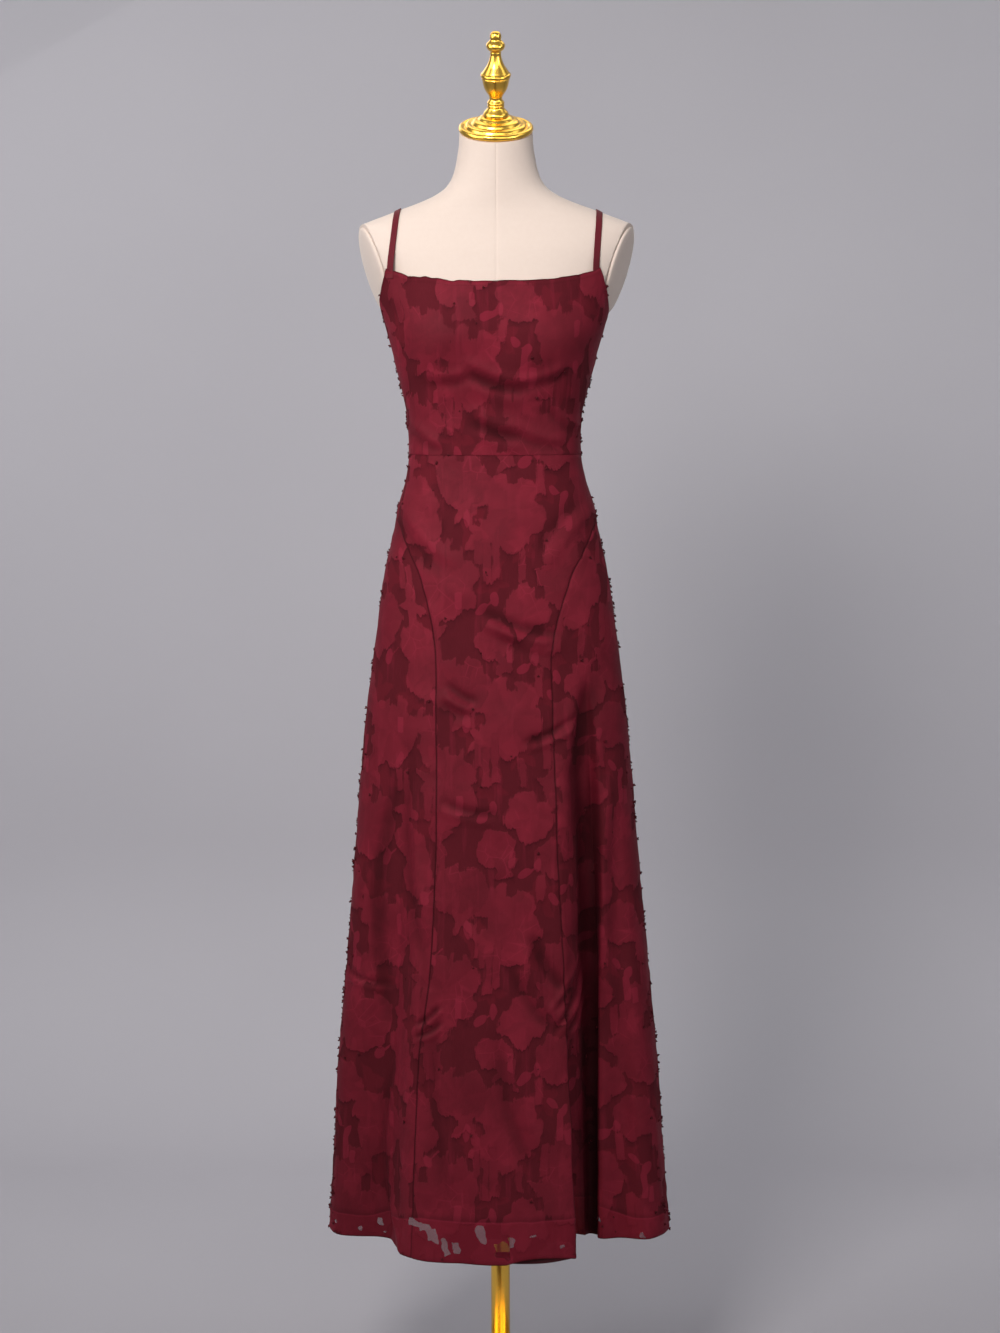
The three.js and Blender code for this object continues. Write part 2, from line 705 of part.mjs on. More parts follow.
// An oval pad with a low dome, flat against the cut arm
function addArmPlates() {
  const domeSteps = 4;
  const profile = [new THREE.Vector2(0, PART_GAP), new THREE.Vector2(1, PART_GAP)];
  for (let i = 0; i < domeSteps; i += 1) {
    const angle = (i / domeSteps) * (Math.PI / 2);
    const height = PART_GAP + mix(ARM_PLATE.edge, ARM_PLATE.thickness, Math.sin(angle));
    profile.push(new THREE.Vector2(Math.cos(angle), height));
  }
  profile.push(new THREE.Vector2(0, PART_GAP + ARM_PLATE.thickness));
  for (const { name, way } of [{ name: "arm_plate_left", way: -1 }, { name: "arm_plate_right", way: 1 }]) {
    const plate = new THREE.LatheGeometry(profile, 24);
    plate.rotateX(Math.PI / 2);
    plate.scale(ARM_PLATE.wide, ARM_PLATE.tall, 1);
    plate.applyMatrix4(armPlane(way).matrix);
    addPiece(name, plate, formCloth);
  }
}

// Pulls a line of points tight over the ones that stand out furthest
function pullTight(points) {
  const line = [points[0]];
  let at = 0;
  while (at < points.length - 1) {
    let best = at + 1;
    for (let k = at + 2; k < points.length; k += 1) {
      const a = points[best];
      const b = points[k];
      const here = points[at];
      const cross = (a.y - here.y) * (b.z - here.z) - (a.z - here.z) * (b.y - here.y);
      if (cross >= 0) {
        best = k;
      }
    }
    line.push(points[best]);
    at = best;
  }
  return line;
}

// One edge of a strap, from the front of the bodice over the shoulder to its back
function strapEdge(strap, offset) {
  const shoulderX = strap.shoulderX + offset;
  let shoulderTop = 1650;
  while (torsoDepth("front", shoulderX, shoulderTop) === null) {
    shoulderTop -= 0.1;
  }
  const ends = {
    front: { x: strap.frontX + offset, z: CORNER_Z - 0.6 },
    back: { x: strap.backX + offset, z: backTop(strap.backX / 150) + 0.6 },
  };
  const samples = 26;
  const sideLine = (side) => {
    const points = [];
    const end = ends[side];
    for (let i = 0; i <= samples; i += 1) {
      const share = Math.sin((i / samples) * (Math.PI / 2));
      const z = mix(end.z, shoulderTop, share);
      const x = mix(end.x, shoulderX, share);
      const y = torsoDepth(side, x, z);
      if (y !== null) {
        points.push(new THREE.Vector3(x, y, z));
      }
    }
    return points;
  };
  const footDepth = (side) => {
    const end = ends[side];
    const row = readRow(DRESS_ROWS, end.z, ["half", "front", "back", "power", "shift"]);
    const across = Math.abs(end.x - row.shift) / row.half;
    const share = (1 - across ** row.power) ** (1 / row.power);
    return side === "front" ? -row.front * share + CLOTH : row.back * share - CLOTH;
  };
  const front = sideLine("front");
  const back = sideLine("back").reverse();
  front.unshift(new THREE.Vector3(ends.front.x, footDepth("front"), ends.front.z));
  back.push(new THREE.Vector3(ends.back.x, footDepth("back"), ends.back.z));
  return new THREE.CatmullRomCurve3(pullTight([...front, ...back]), false, "centripetal");
}

function addStrap(strap) {
  const steps = 30;
  const edges = [-1, 1].map((way) => strapEdge(strap, (way * STRAP_WIDTH) / 2));
  const outer = [];
  const inner = [];
  for (const share of spread(0, 1, steps)) {
    const [a, b] = edges.map((edge) => edge.getPointAt(share));
    const along = edges[0].getTangentAt(share).add(edges[1].getTangentAt(share));
    const out = new THREE.Vector3().crossVectors(b.clone().sub(a), along).normalize();
    const moved = (distance) => [a, b].map((point) => point.clone().addScaledVector(out, distance));
    inner.push(moved(STRAP_CLEARANCE));
    outer.push(moved(STRAP_CLEARANCE + STRAP_THICKNESS));
  }
  addPiece(strap.name, closedWall(outer, inner), dressCloth);
}

// A turned metal part: its profile starts and ends on the axis, and its axis is +Z
function turned(profile, top, sides) {
  const points = [new THREE.Vector2(0, profile[0].height)];
  for (const { radius, height } of profile) {
    points.push(new THREE.Vector2(radius, height));
  }
  points.push(new THREE.Vector2(0, top));
  const geometry = new THREE.LatheGeometry(points, sides);
  geometry.rotateX(Math.PI / 2);
  return geometry;
}

function addCapAndFinial() {
  const cap = turned(CAP_PROFILE, CAP_TOP, 32);
  cap.translate(0, 0, -CAP_RIM.halfThickness);
  cap.applyMatrix4(NECK_PLANE.matrix);
  addPiece("neck_cap", cap, goldMetal);
  const finial = turned(FINIAL_PROFILE, FINIAL_TOP, 18);
  finial.translate(0, 0, CAP_TOP - CAP_RIM.halfThickness + PART_GAP);
  finial.applyMatrix4(NECK_PLANE.matrix);
  addPiece("finial", finial, goldMetal);
}

function addStand() {
  const base = turned(BASE_PROFILE, BASE_TOP, 36);
  addPiece("base", base, goldMetal);
  const flangeBottom = TORSO_BOTTOM_Z - PART_GAP - FLANGE.thickness;
  const flange = new THREE.CylinderGeometry(FLANGE.radius, FLANGE.radius, FLANGE.thickness, 32);
  flange.rotateX(Math.PI / 2);
  const flangeMesh = addPiece("pole_flange", flange, goldMetal);
  flangeMesh.position.z = flangeBottom + FLANGE.thickness / 2;
  const poleBottom = BASE_TOP + PART_GAP;
  const poleTop = flangeBottom - PART_GAP;
  const pole = new THREE.CylinderGeometry(POLE_RADIUS, POLE_RADIUS, poleTop - poleBottom, 28);
  pole.rotateX(Math.PI / 2);
  const poleMesh = addPiece("pole", pole, goldMetal);
  poleMesh.position.z = (poleTop + poleBottom) / 2;
}

addBodice();
addSkirt();
addLining();
addTorso();
addArmPlates();
for (const strap of STRAPS) {
  addStrap(strap);
}
addCapAndFinial();
addStand();

export default object;
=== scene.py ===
"""A burgundy maxi dress in burnout chiffon on a cream dress form with a gold stand."""

import math

import bmesh
import bpy
import numpy as np
from mathutils import Euler, Matrix, Vector


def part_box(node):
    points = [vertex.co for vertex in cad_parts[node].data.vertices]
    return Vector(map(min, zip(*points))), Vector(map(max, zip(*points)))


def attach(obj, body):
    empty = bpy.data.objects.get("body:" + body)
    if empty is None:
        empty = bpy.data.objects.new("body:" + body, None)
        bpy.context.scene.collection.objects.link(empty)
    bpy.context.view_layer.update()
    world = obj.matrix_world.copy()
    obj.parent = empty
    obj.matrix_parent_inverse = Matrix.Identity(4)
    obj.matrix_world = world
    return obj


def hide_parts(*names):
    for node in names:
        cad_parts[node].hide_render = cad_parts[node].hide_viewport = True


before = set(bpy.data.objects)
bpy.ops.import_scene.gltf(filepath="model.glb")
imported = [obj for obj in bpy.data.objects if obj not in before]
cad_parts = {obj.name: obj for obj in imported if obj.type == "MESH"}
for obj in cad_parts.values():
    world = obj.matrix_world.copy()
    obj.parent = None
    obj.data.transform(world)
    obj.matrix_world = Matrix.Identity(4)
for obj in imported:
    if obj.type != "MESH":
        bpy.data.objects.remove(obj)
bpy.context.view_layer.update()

MM = 0.001

# Sizes of the dress, in millimetres as a maker notes them
WAIST_Z = 1308
HEM_Z = 240
HEM_HALF_WIDTH = 234.6
LINING_HEM_Z = 295
SLIT_TOP_Z = 613
SEAM_TIP_Z = 1225
SEAM_GAP = 0.1
SLANTED_SEAM_GAP = 0.15
SHELL = 0.6
WAIST_LAP = 2.5
VALLEY_SHADE_TOP = 1000
SCOOP_Z = 1536
CORNER_Z = 1554
CORNER_TURN = 0.6
UNDERARM_Z = 1490
BACK_TOP_Z = 1478
BUST = {"x": 76, "z": 1458, "height": 12, "wide": 46, "tall": 50}
SLIT_BACK = 92
SLIT_INWARD = 8
VALLEY_TURN = 0.47

# Sizes of the form and its cap
NECK_TILT = math.radians(23)
CAP_RIM_Y = -4
CAP_RIM_Z = 1741
CAP_HALF_THICKNESS = 4
CAP_TOP = 21
PART_GAP = 0.3
WELD = 1e-6
ARM_CUT = {"x": 161, "z": 1553, "lean": math.radians(17), "turn": math.radians(16)}
ARM_PLATE = {"tall": 60, "wide": 45, "thickness": 9, "edge": 2.5}


def table(columns, rows):
    """A table with named columns, as one array for each column."""
    return {name: np.array(values, float) for name, values in zip(columns.split(), zip(*rows))}


DRESS_ROWS = table(
    "z half front back power fold shift",
    [
        (240, 234.6, 134, 151, 2, 1, -1.5), (345, 227.2, 130, 148, 2, 0.88, -2),
        (485, 217, 125, 143, 2.05, 0.71, -2.5), (624, 204, 119, 137, 2.1, 0.53, -2.4),
        (762, 191.9, 114, 131, 2.1, 0.34, -3), (899, 180.5, 109, 125, 2.15, 0.17, -3),
        (1001, 170, 104, 120, 2.2, 0.07, -2.4), (1070, 161.6, 101, 117, 2.2, 0.02, -2),
        (1137, 152.6, 97, 113, 2.2, 0, -2.2), (1205, 138.2, 91, 103, 2.2, 0, -2),
        (1239, 131.4, 88, 95, 2.2, 0, -1.6), (1272, 121.2, 84, 84, 2.2, 0, -2),
        (1308, 115.7, 81, 76, 2.2, 0, -3), (1353, 117, 84, 79, 2.2, 0, -3.6),
        (1393, 125, 90, 84, 2.2, 0, -2.8), (1434, 135, 98, 90, 2.25, 0, -2.2),
        (1474, 145.5, 102, 96, 2.3, 0, -2), (1490, 150, 101, 98, 2.3, 0, -2),
        (1514, 157, 98, 99, 2.3, 0, -3.5), (1552, 171, 90, 99, 2.3, 0, -5),
    ],
)

# The hem from above, by turn: -1 and 1 are the side seams and 0 the middle
HEM = {
    "front": table(
        "turn x y",
        [
            (-1, -236, 12), (-0.88, -226, -6), (-0.78, -212, -17), (-0.66, -189, -23),
            (-0.56, -166, -27), (-0.47, -150, -36), (-0.41, -143, -64), (-0.35, -134, -94),
            (-0.31, -118, -111), (-0.16, -64, -128), (-0.02, -10, -134), (0.1, 40, -131),
            (0.2, 80, -124), (0.27, 104.5, -116), (0.33, 113, -92), (0.4, 118, -50), (0.47, 125, -17),
            (0.55, 144, -29), (0.64, 171, -33), (0.74, 199, -42), (0.88, 223, -26), (1, 236, 4),
        ],
    ),
    "back": table(
        "turn x y",
        [
            (-1, -236, 12), (-0.85, -226, 58), (-0.69, -188, 68), (-0.54, -156, 116),
            (-0.39, -110, 112), (-0.23, -68, 149), (-0.08, -22, 136), (0.09, 28, 154), (0.25, 72, 129),
            (0.41, 116, 134), (0.57, 152, 90), (0.73, 196, 92), (0.88, 226, 46), (1, 236, 4),
        ],
    ),
}

FRONT_SEAMS = table(
    "z left right",
    [
        (240, -0.31, 0.27), (388, -0.308, 0.27), (503, -0.305, 0.269), (613, -0.275, 0.267),
        (700, -0.264, 0.264), (835, -0.262, 0.26), (950, -0.276, 0.26), (1036, -0.295, 0.264),
        (1087, -0.335, 0.311), (1120, -0.385, 0.37), (1153, -0.46, 0.455), (1179, -0.58, 0.58),
        (1209, -0.78, 0.78), (1225, -1, 1),
    ],
)

TORSO_ROWS = table(
    "z half front back power",
    [
        (1050, 147, 84, 100, 2.2), (1108, 147, 88, 106, 2.2), (1170, 133, 84, 99, 2.15),
        (1225, 120, 80, 89, 2.15), (1270, 113, 77, 79, 2.2), (1308, 108, 75, 70, 2.2),
        (1353, 110, 79, 74, 2.2), (1393, 119, 85, 79, 2.2), (1434, 129, 93, 85, 2.25),
        (1474, 140, 97, 91, 2.3), (1490, 144, 95, 93, 2.3), (1514, 154, 90, 94, 2.3),
        (1552, 172, 78, 94, 2.3), (1580, 188, 68, 90, 2.3), (1598, 193, 59, 83, 2.3),
        (1610, 188, 54, 77, 2.2), (1618, 170, 51, 73, 2.2), (1626, 149, 49, 69, 2.1),
        (1635, 125, 47.5, 65, 2), (1643, 103, 47, 61, 2), (1652, 83, 47, 57, 2),
        (1664, 66.5, 47, 52, 2), (1681, 57, 47, 48, 2), (1703, 52, 47.5, 45, 2),
        (1724, 49.3, 48, 43, 2), (1775, 48.5, 49, 42, 2),
    ],
)

# Creases, seen from the front or from behind: ends, half width and height of the ridge
# in millimetres, with a minus for a hollow
CREASES = {
    "front": [
        (-36, 1429, 30, 1406, 8, 2.2), (30, 1406, 88, 1424, 7, 1.8), (-34, 1414, 36, 1392, 9, -1.8),
        (-92, 1413, -38, 1418, 7, 1.6), (-32, 1366, 30, 1344, 9, 2.0), (30, 1344, 90, 1327, 8, 1.5),
        (-28, 1350, 34, 1330, 8, -1.4), (-112, 1350, -70, 1322, 7, 1.3), (70, 1376, 112, 1342, 6, 1.2),
        (-16, 1102, 74, 1072, 9, -2.4), (-6, 1088, 76, 1058, 8, 2.2), (30, 1068, 76, 1058, 6, -1.8),
        (-65, 1006, -30, 985, 7, -1.8), (-70, 992, -34, 974, 7, 1.5), (44, 672, 88, 600, 9, -2.6),
        (30, 640, 84, 560, 10, 2.0), (-205, 606, -146, 598, 5, -1.6), (-128, 1240, -60, 1170, 12, 1.6),
        (126, 1236, 66, 1168, 12, 1.6), (-100, 900, -84, 640, 9, 1.8), (-140, 860, -152, 560, 12, -2.2),
        (128, 1010, 112, 780, 13, -3.4), (150, 880, 158, 560, 12, 2.4), (20, 540, 60, 380, 14, 1.6),
        (-60, 560, -40, 330, 15, 1.5), (-138, 480, -134, 240, 5, 2.6), (76, 552, 112, 618, 5, -2.4),
        (92, 540, 116, 586, 4, -2.0), (68, 580, 106, 646, 5, 1.6), (-110, 556, -80, 582, 4, -2.0),
        (-110, 540, -78, 560, 4, -1.7), (38, 932, 98, 960, 6, -2.4), (-70, 852, -4, 838, 7, -1.7),
    ],
    "back": [
        (-90, 1400, -10, 1376, 9, 1.8), (10, 1372, 92, 1402, 9, 1.6), (-60, 1344, 54, 1338, 8, -1.5),
        (-84, 1282, -16, 1262, 9, 1.8), (18, 1266, 86, 1286, 9, 1.6), (-70, 1130, -20, 1090, 12, -2.0),
        (22, 1084, 78, 1126, 12, -1.8), (-40, 1010, -52, 760, 13, 2.2), (44, 980, 60, 720, 13, -2.2),
        (-130, 940, -146, 650, 13, -2.2), (128, 960, 142, 640, 13, 2.0),
    ],
}

# Small patches at the hem where only the sheer ground is left: middle, width and height, on the front
SHEER_PATCHES = table(
    "x z wide tall",
    [
        (-112, 291, 18, 8), (-101, 286, 15, 13), (-91, 274, 11, 17), (-24, 281, 12, 22),
        (-72, 260, 10, 21), (-59, 261, 10, 18), (3, 258, 19, 22), (15, 270, 8, 15), (43, 278, 10, 7),
        (84, 260, 5, 6), (-226, 257, 6, 6), (-192, 252, 5, 7), (-163, 263, 6, 8), (-158, 247, 5, 5),
        (136, 268, 5, 9), (192, 247, 6, 6),
    ],
)


def read(rows, key, column, place):
    """One column of a table at places between its rows, on a smooth curve that never overshoots them."""
    xs, ys = rows[key], rows[column]
    slope = np.diff(ys) / np.diff(xs)
    both = slope[:-1] * slope[1:]
    total = np.where(both > 0, slope[:-1] + slope[1:], 1)
    tangent = np.concatenate([slope[:1], np.where(both > 0, 2 * both / total, 0), slope[-1:]])
    place = np.clip(place, xs[0], xs[-1])
    i = np.clip(np.searchsorted(xs, place, side="right") - 1, 0, len(xs) - 2)
    step = xs[i + 1] - xs[i]
    s = (place - xs[i]) / step
    ease = s * s * (3 - 2 * s)
    start = s * (1 - s) ** 2 * step * tangent[i]
    end = s * s * (1 - s) * step * tangent[i + 1]
    return ys[i] + (ys[i + 1] - ys[i]) * ease + start - end


def mix(a, b, share):
    return a + (b - a) * share


def soft_step(share):
    share = np.clip(share, 0, 1)
    return share * share * (3 - 2 * share)


def soft_noise(a, b, size, seed):
    """Smooth random heights from -1 to 1 over a plane, with bumps of about the given size."""
    lattice = np.random.default_rng(seed).uniform(-1, 1, (64, 64))
    a, b = np.asarray(a) / size, np.asarray(b) / size
    i, j = np.floor(a).astype(int), np.floor(b).astype(int)
    s, t = soft_step(a - i), soft_step(b - j)
    low = mix(lattice[i % 64, j % 64], lattice[(i + 1) % 64, j % 64], s)
    high = mix(lattice[i % 64, (j + 1) % 64], lattice[(i + 1) % 64, (j + 1) % 64], s)
    return mix(low, high, t)


def layered_noise(a, b, layers):
    """Soft noise of several heights and sizes, added up."""
    return sum(height * soft_noise(a, b, size, seed) for height, size, seed in layers)


def hump(distance, width):
    """A rounded bump of height 1 that fades beyond the given width on both sides."""
    return np.exp(-((distance / width) ** 2))


def bust_mound(x, z):
    across = (np.abs(x) - BUST["x"]) / BUST["wide"]
    up = (z - BUST["z"]) / BUST["tall"]
    return BUST["height"] * np.exp(-across * across - up * up)


def ring_point(rows, side, turn, z):
    """A point of a rounded ring: turn runs from -1 at the left side to 1 at the right side."""
    power = read(rows, "z", "power", z)
    sine, cosine = np.sin(turn * math.pi / 2), np.cos(turn * math.pi / 2)
    x = read(rows, "z", "half", z) * np.sign(sine) * np.abs(sine) ** (2 / power)
    depth = np.maximum(np.abs(cosine), 1e-9) ** (2 / power)
    if side == "back":
        return x, read(rows, "z", "back", z) * depth
    return x, -read(rows, "z", "front", z) * depth - bust_mound(x, z)


def dress_point(side, turn, z, slit_open=False):
    """A point of the dress's outer face."""
    x, y = ring_point(DRESS_ROWS, side, turn, z)
    fold = read(DRESS_ROWS, "z", "fold", z)
    hem_x = read(HEM[side], "turn", "x", turn) * read(DRESS_ROWS, "z", "half", z) / HEM_HALF_WIDTH
    hem_y = read(HEM[side], "turn", "y", turn)
    x = mix(x, hem_x, fold) + read(DRESS_ROWS, "z", "shift", z)
    y = mix(y, hem_y, fold)
    if slit_open:
        seam = read(FRONT_SEAMS, "z", "right", z)
        fade = 1 - soft_step((turn - seam) / (VALLEY_TURN - seam))
        drop = np.clip((SLIT_TOP_Z - z) / (SLIT_TOP_Z - HEM_Z), 0, 1)
        x = x - SLIT_INWARD * drop * fade
        y = y + SLIT_BACK * drop * fade
    return x, y


def dress_surface(side, turn, z, slit_open=False):
    """Points of the dress's outer face and their outward directions as seen from above."""
    x, y = dress_point(side, turn, z, slit_open)
    before = dress_point(side, np.maximum(-1, turn - 0.004), z, slit_open)
    after = dress_point(side, np.minimum(1, turn + 0.004), z, slit_open)
    way = -1 if side == "front" else 1
    out_x, out_y = way * (before[1] - after[1]), way * (after[0] - before[0])
    length = np.hypot(out_x, out_y)
    out_x, out_y = out_x / length, out_y / length
    near_side = np.clip((np.abs(turn) - 0.9) / 0.08, 0, 1)
    out_x, out_y = mix(out_x, np.sign(turn), near_side), mix(out_y, 0, near_side)
    length = np.hypot(out_x, out_y)
    return x, y, out_x / length, out_y / length


def turn_for(distance, side, turn, z):
    """How much turn a distance along the cloth takes."""
    low, high = np.maximum(-1, turn - 0.01), np.minimum(1, turn + 0.01)
    before, after = dress_point(side, low, z), dress_point(side, high, z)
    return distance * (high - low) / np.hypot(after[0] - before[0], after[1] - before[1])


# The deep fold beside the right front seam: where the crest on its right stands, how deep its long left
# slope runs and how high the crest is
VALLEY = table(
    "z x deep crest",
    [
        (240, 133, 2, 9), (330, 133, 5, 9), (450, 132, 10, 9), (613, 131, 15, 8), (740, 131, 17, 7),
        (860, 129, 14, 5), (950, 124, 7, 3), (1020, 118, 0, 0),
    ],
)


def valley_height(x, z):
    beside = x - read(VALLEY, "z", "x", z)
    slope = np.clip(1 + beside / 27, 0, 1) * (1 - soft_step((beside + 1.5) / 4.5))
    crest = np.where(beside < 5, soft_step((beside + 1.5) / 6.5), hump(beside - 5, 17))
    return read(VALLEY, "z", "crest", z) * crest - read(VALLEY, "z", "deep", z) * slope


def deep_fold(side, x, z):
    return valley_height(x, z) if side == "front" else np.zeros_like(x)


# How the shading of the fold widens and fades: heights in millimetres
SHADE_FADE = 260
SHADE_WIDTH = (20, 38)


def fold_shade(side, x, z):
    """How much painted shade darkens the cloth, from 0 to 1: deep in the fold beside the right front seam,
    and low on the left front panel.
    """
    if side == "back":
        return np.zeros_like(x)
    edge = read(VALLEY, "z", "x", z)
    reach = np.clip((VALLEY_SHADE_TOP - z) / SHADE_FADE, 0, 1)
    wide = mix(*SHADE_WIDTH, np.clip((SLIT_TOP_Z - z) / 250, 0, 1))
    reach *= mix(0.9, 1.08, np.clip((700 - z) / 300, 0, 1))
    valley = reach * soft_step(1 + (x - edge + 2) / wide) * (1 - soft_step((x - edge) / 7))
    left = 0.27 * np.clip((600 - z) / 250, 0, 1) * soft_step((-x - 141) / 10) * soft_step((x + 240) / 26)
    return np.maximum(valley, left)


# Creases are drawn a little narrower and higher than listed, each with a hollow beside it, and no
# hollow is deeper than the room between the cloth and the form
CREASE_NARROWING = 0.9
CREASE_RAISING = 1.7
DEEPEST_HOLLOW = 3.4


def crease_height(side, x, z):
    """How far the listed creases lift or sink the cloth."""
    creases = np.zeros_like(x)
    for x0, z0, x1, z1, wide, high in CREASES[side]:
        wide, high = CREASE_NARROWING * wide, CREASE_RAISING * high
        dx, dz = x1 - x0, z1 - z0
        long = math.hypot(dx, dz)
        along = ((x - x0) * dx + (z - z0) * dz) / long**2
        bow = 0.06 * long * np.sin(np.clip(along, 0, 1) * math.pi)
        across = ((x - x0) * dz - (z - z0) * dx) / long - bow
        ends = soft_step((along + 0.18) / 0.4) * soft_step((1.18 - along) / 0.4)
        creases += high * (hump(across, wide) - 0.7 * hump(across / wide - 1.7, 1)) * ends
    clipped = -DEEPEST_HOLLOW * np.tanh(-creases / DEEPEST_HOLLOW)
    return deep_fold(side, x, z) + np.where(creases < 0, clipped, creases)


# One repeat of the woven pattern on the flat cloth, in millimetres. Each second column hangs half a
# repeat lower. Every motif is placed by its middle.
REPEAT = {"wide": 300, "tall": 270}
BLOOMS = [
    # across, up, reach, tips, turn of the tips, height for its width, tone
    (40, 62, 50, 7, 0.3, 1.16, 0.62), (124, 152, 50, 6, 0.1, 1.1, 0.82),
    (256, 188, 45, 5, 0.55, 1.15, 0.72), (150, 22, 35, 5, 0.25, 1.0, 0.95),
    (4, 138, 31, 5, 0.8, 1.25, 0.9), (212, 122, 26, 4, 0.4, 1.3, 0.45),
]
ROUND_BLOSSOMS = [
    # across, up, reach, scallops, tone
    (216, 58, 47, 9, 0.5), (62, 192, 37, 8, 0.35), (190, 236, 30, 7, 0.55), (104, 250, 25, 6, 0.7),
    (292, 34, 27, 7, 0.8),
]
BARS = [
    # across, up, width, height, tone
    (96, 84, 11, 50, 0.5), (107, 96, 11, 66, 0.6), (85, 104, 10, 40, 0.4), (176, 106, 12, 44, 0.75),
    (188, 96, 12, 58, 0.55), (281, 108, 11, 52, 0.65), (270, 122, 10, 34, 0.5), (20, 232, 12, 42, 0.6),
    (32, 222, 11, 58, 0.5), (228, 142, 11, 40, 0.4), (142, 78, 10, 40, 0.45), (166, 196, 11, 36, 0.6),
]
BLOCKS_CUT_OUT = [
    # across, up, width, height
    (54, 112, 13, 24), (14, 84, 12, 20), (128, 198, 13, 24), (88, 150, 14, 16), (226, 98, 14, 22),
    (256, 232, 13, 24), (62, 226, 12, 18), (166, 46, 12, 16),
]
BUDS = [
    # across, up, half width, half height, lean
    (88, 22, 6, 10, 0.9), (106, 34, 5.5, 10, -0.2), (200, 168, 6, 10, 0.5), (184, 180, 5, 9, -0.7),
    (246, 12, 6, 11, 0.3), (20, 102, 5, 9, -0.4), (146, 216, 6, 10, 1.1), (164, 226, 5, 9, 0.1),
    (270, 148, 5, 10, 0.2), (70, 142, 5, 12, 0.0),
]
BRIGHT_BLOCKS = [
    # across, up, width, height
    (196, 146, 9, 34), (207, 134, 9, 20), (58, 36, 9, 26), (128, 236, 8, 22), (270, 196, 9, 24),
]
SPRIGS = [
    # across, up, reach, tips, turn of the tips, tone
    (92, 118, 25, 5, 0.15, 0.95), (222, 214, 24, 5, 0.6, 0.9), (176, 60, 22, 4, 0.35, 0.3),
    (24, 262, 23, 5, 0.8, 0.35), (284, 76, 23, 4, 0.1, 1.0), (120, 222, 21, 4, 0.5, 0.25),
    (200, 96, 20, 5, 0.7, 1.0), (66, 152, 20, 4, 0.45, 0.9),
]
STALKS = [
    # from across, up, to across, up
    (88, 22, 106, 34), (200, 168, 184, 180), (146, 216, 164, 226), (20, 102, 34, 116),
    (246, 12, 262, 26),
]
FAINT_LEAVES = [
    # across, up, reach, tips, turn of the tips
    (104, 58, 22, 5, 0.2), (168, 186, 26, 5, 0.7), (246, 118, 24, 4, 0.1), (14, 198, 24, 5, 0.5),
    (204, 8, 22, 5, 0.9), (78, 128, 24, 4, 0.3), (284, 234, 26, 5, 0.4), (140, 106, 24, 5, 0.6),
    (232, 240, 22, 4, 0.8), (30, 16, 24, 5, 0.1),
]
# How the motifs' outlines wander: height and size in millimetres, and seed
WANDER_ACROSS = [(5, 41, 301), (3.5, 17, 302), (2, 8, 303)]
WANDER_UP = [(5, 37, 304), (3.5, 15, 305), (2, 8, 306)]
# A distance in millimetres that counts as far from every outline
FAR = 60.0


def from_middle(u, v, across, up):
    """Offsets from the nearest copy of a motif in the repeat."""
    column = np.floor((u - across) / REPEAT["wide"] + 0.5)
    du = u - across - column * REPEAT["wide"]
    dv = v - up - (column % 2) * REPEAT["tall"] / 2
    return du, dv - np.floor(dv / REPEAT["tall"] + 0.5) * REPEAT["tall"]


def star(du, dv, reach, tips, turn, tall):
    """Distance inside a sprig of short pointed leaves."""
    dv = dv / tall
    share = (np.arctan2(dv, du) / (2 * math.pi) * tips + turn) % 1
    point = np.abs(share - 0.5) * 2
    return reach * (0.42 + 0.62 * point**1.4) - np.hypot(du, dv)


def bloom(du, dv, reach, lobes, turn, tall):
    """Distance inside a flower of round lobes with one drawn-out tip."""
    dv = dv / tall
    angle = np.arctan2(dv, du)
    lobe = np.abs(np.cos((angle / 2 + turn) * lobes))
    apart = (angle + math.pi / 2 + turn) / (2 * math.pi)
    tip = hump(apart - np.floor(apart + 0.5), 0.055)
    return reach * (0.74 + 0.2 * lobe**0.6 + 0.24 * tip) - np.hypot(du, dv)


def block(du, dv, wide, tall):
    return np.minimum(wide / 2 - np.abs(du), tall / 2 - np.abs(dv))


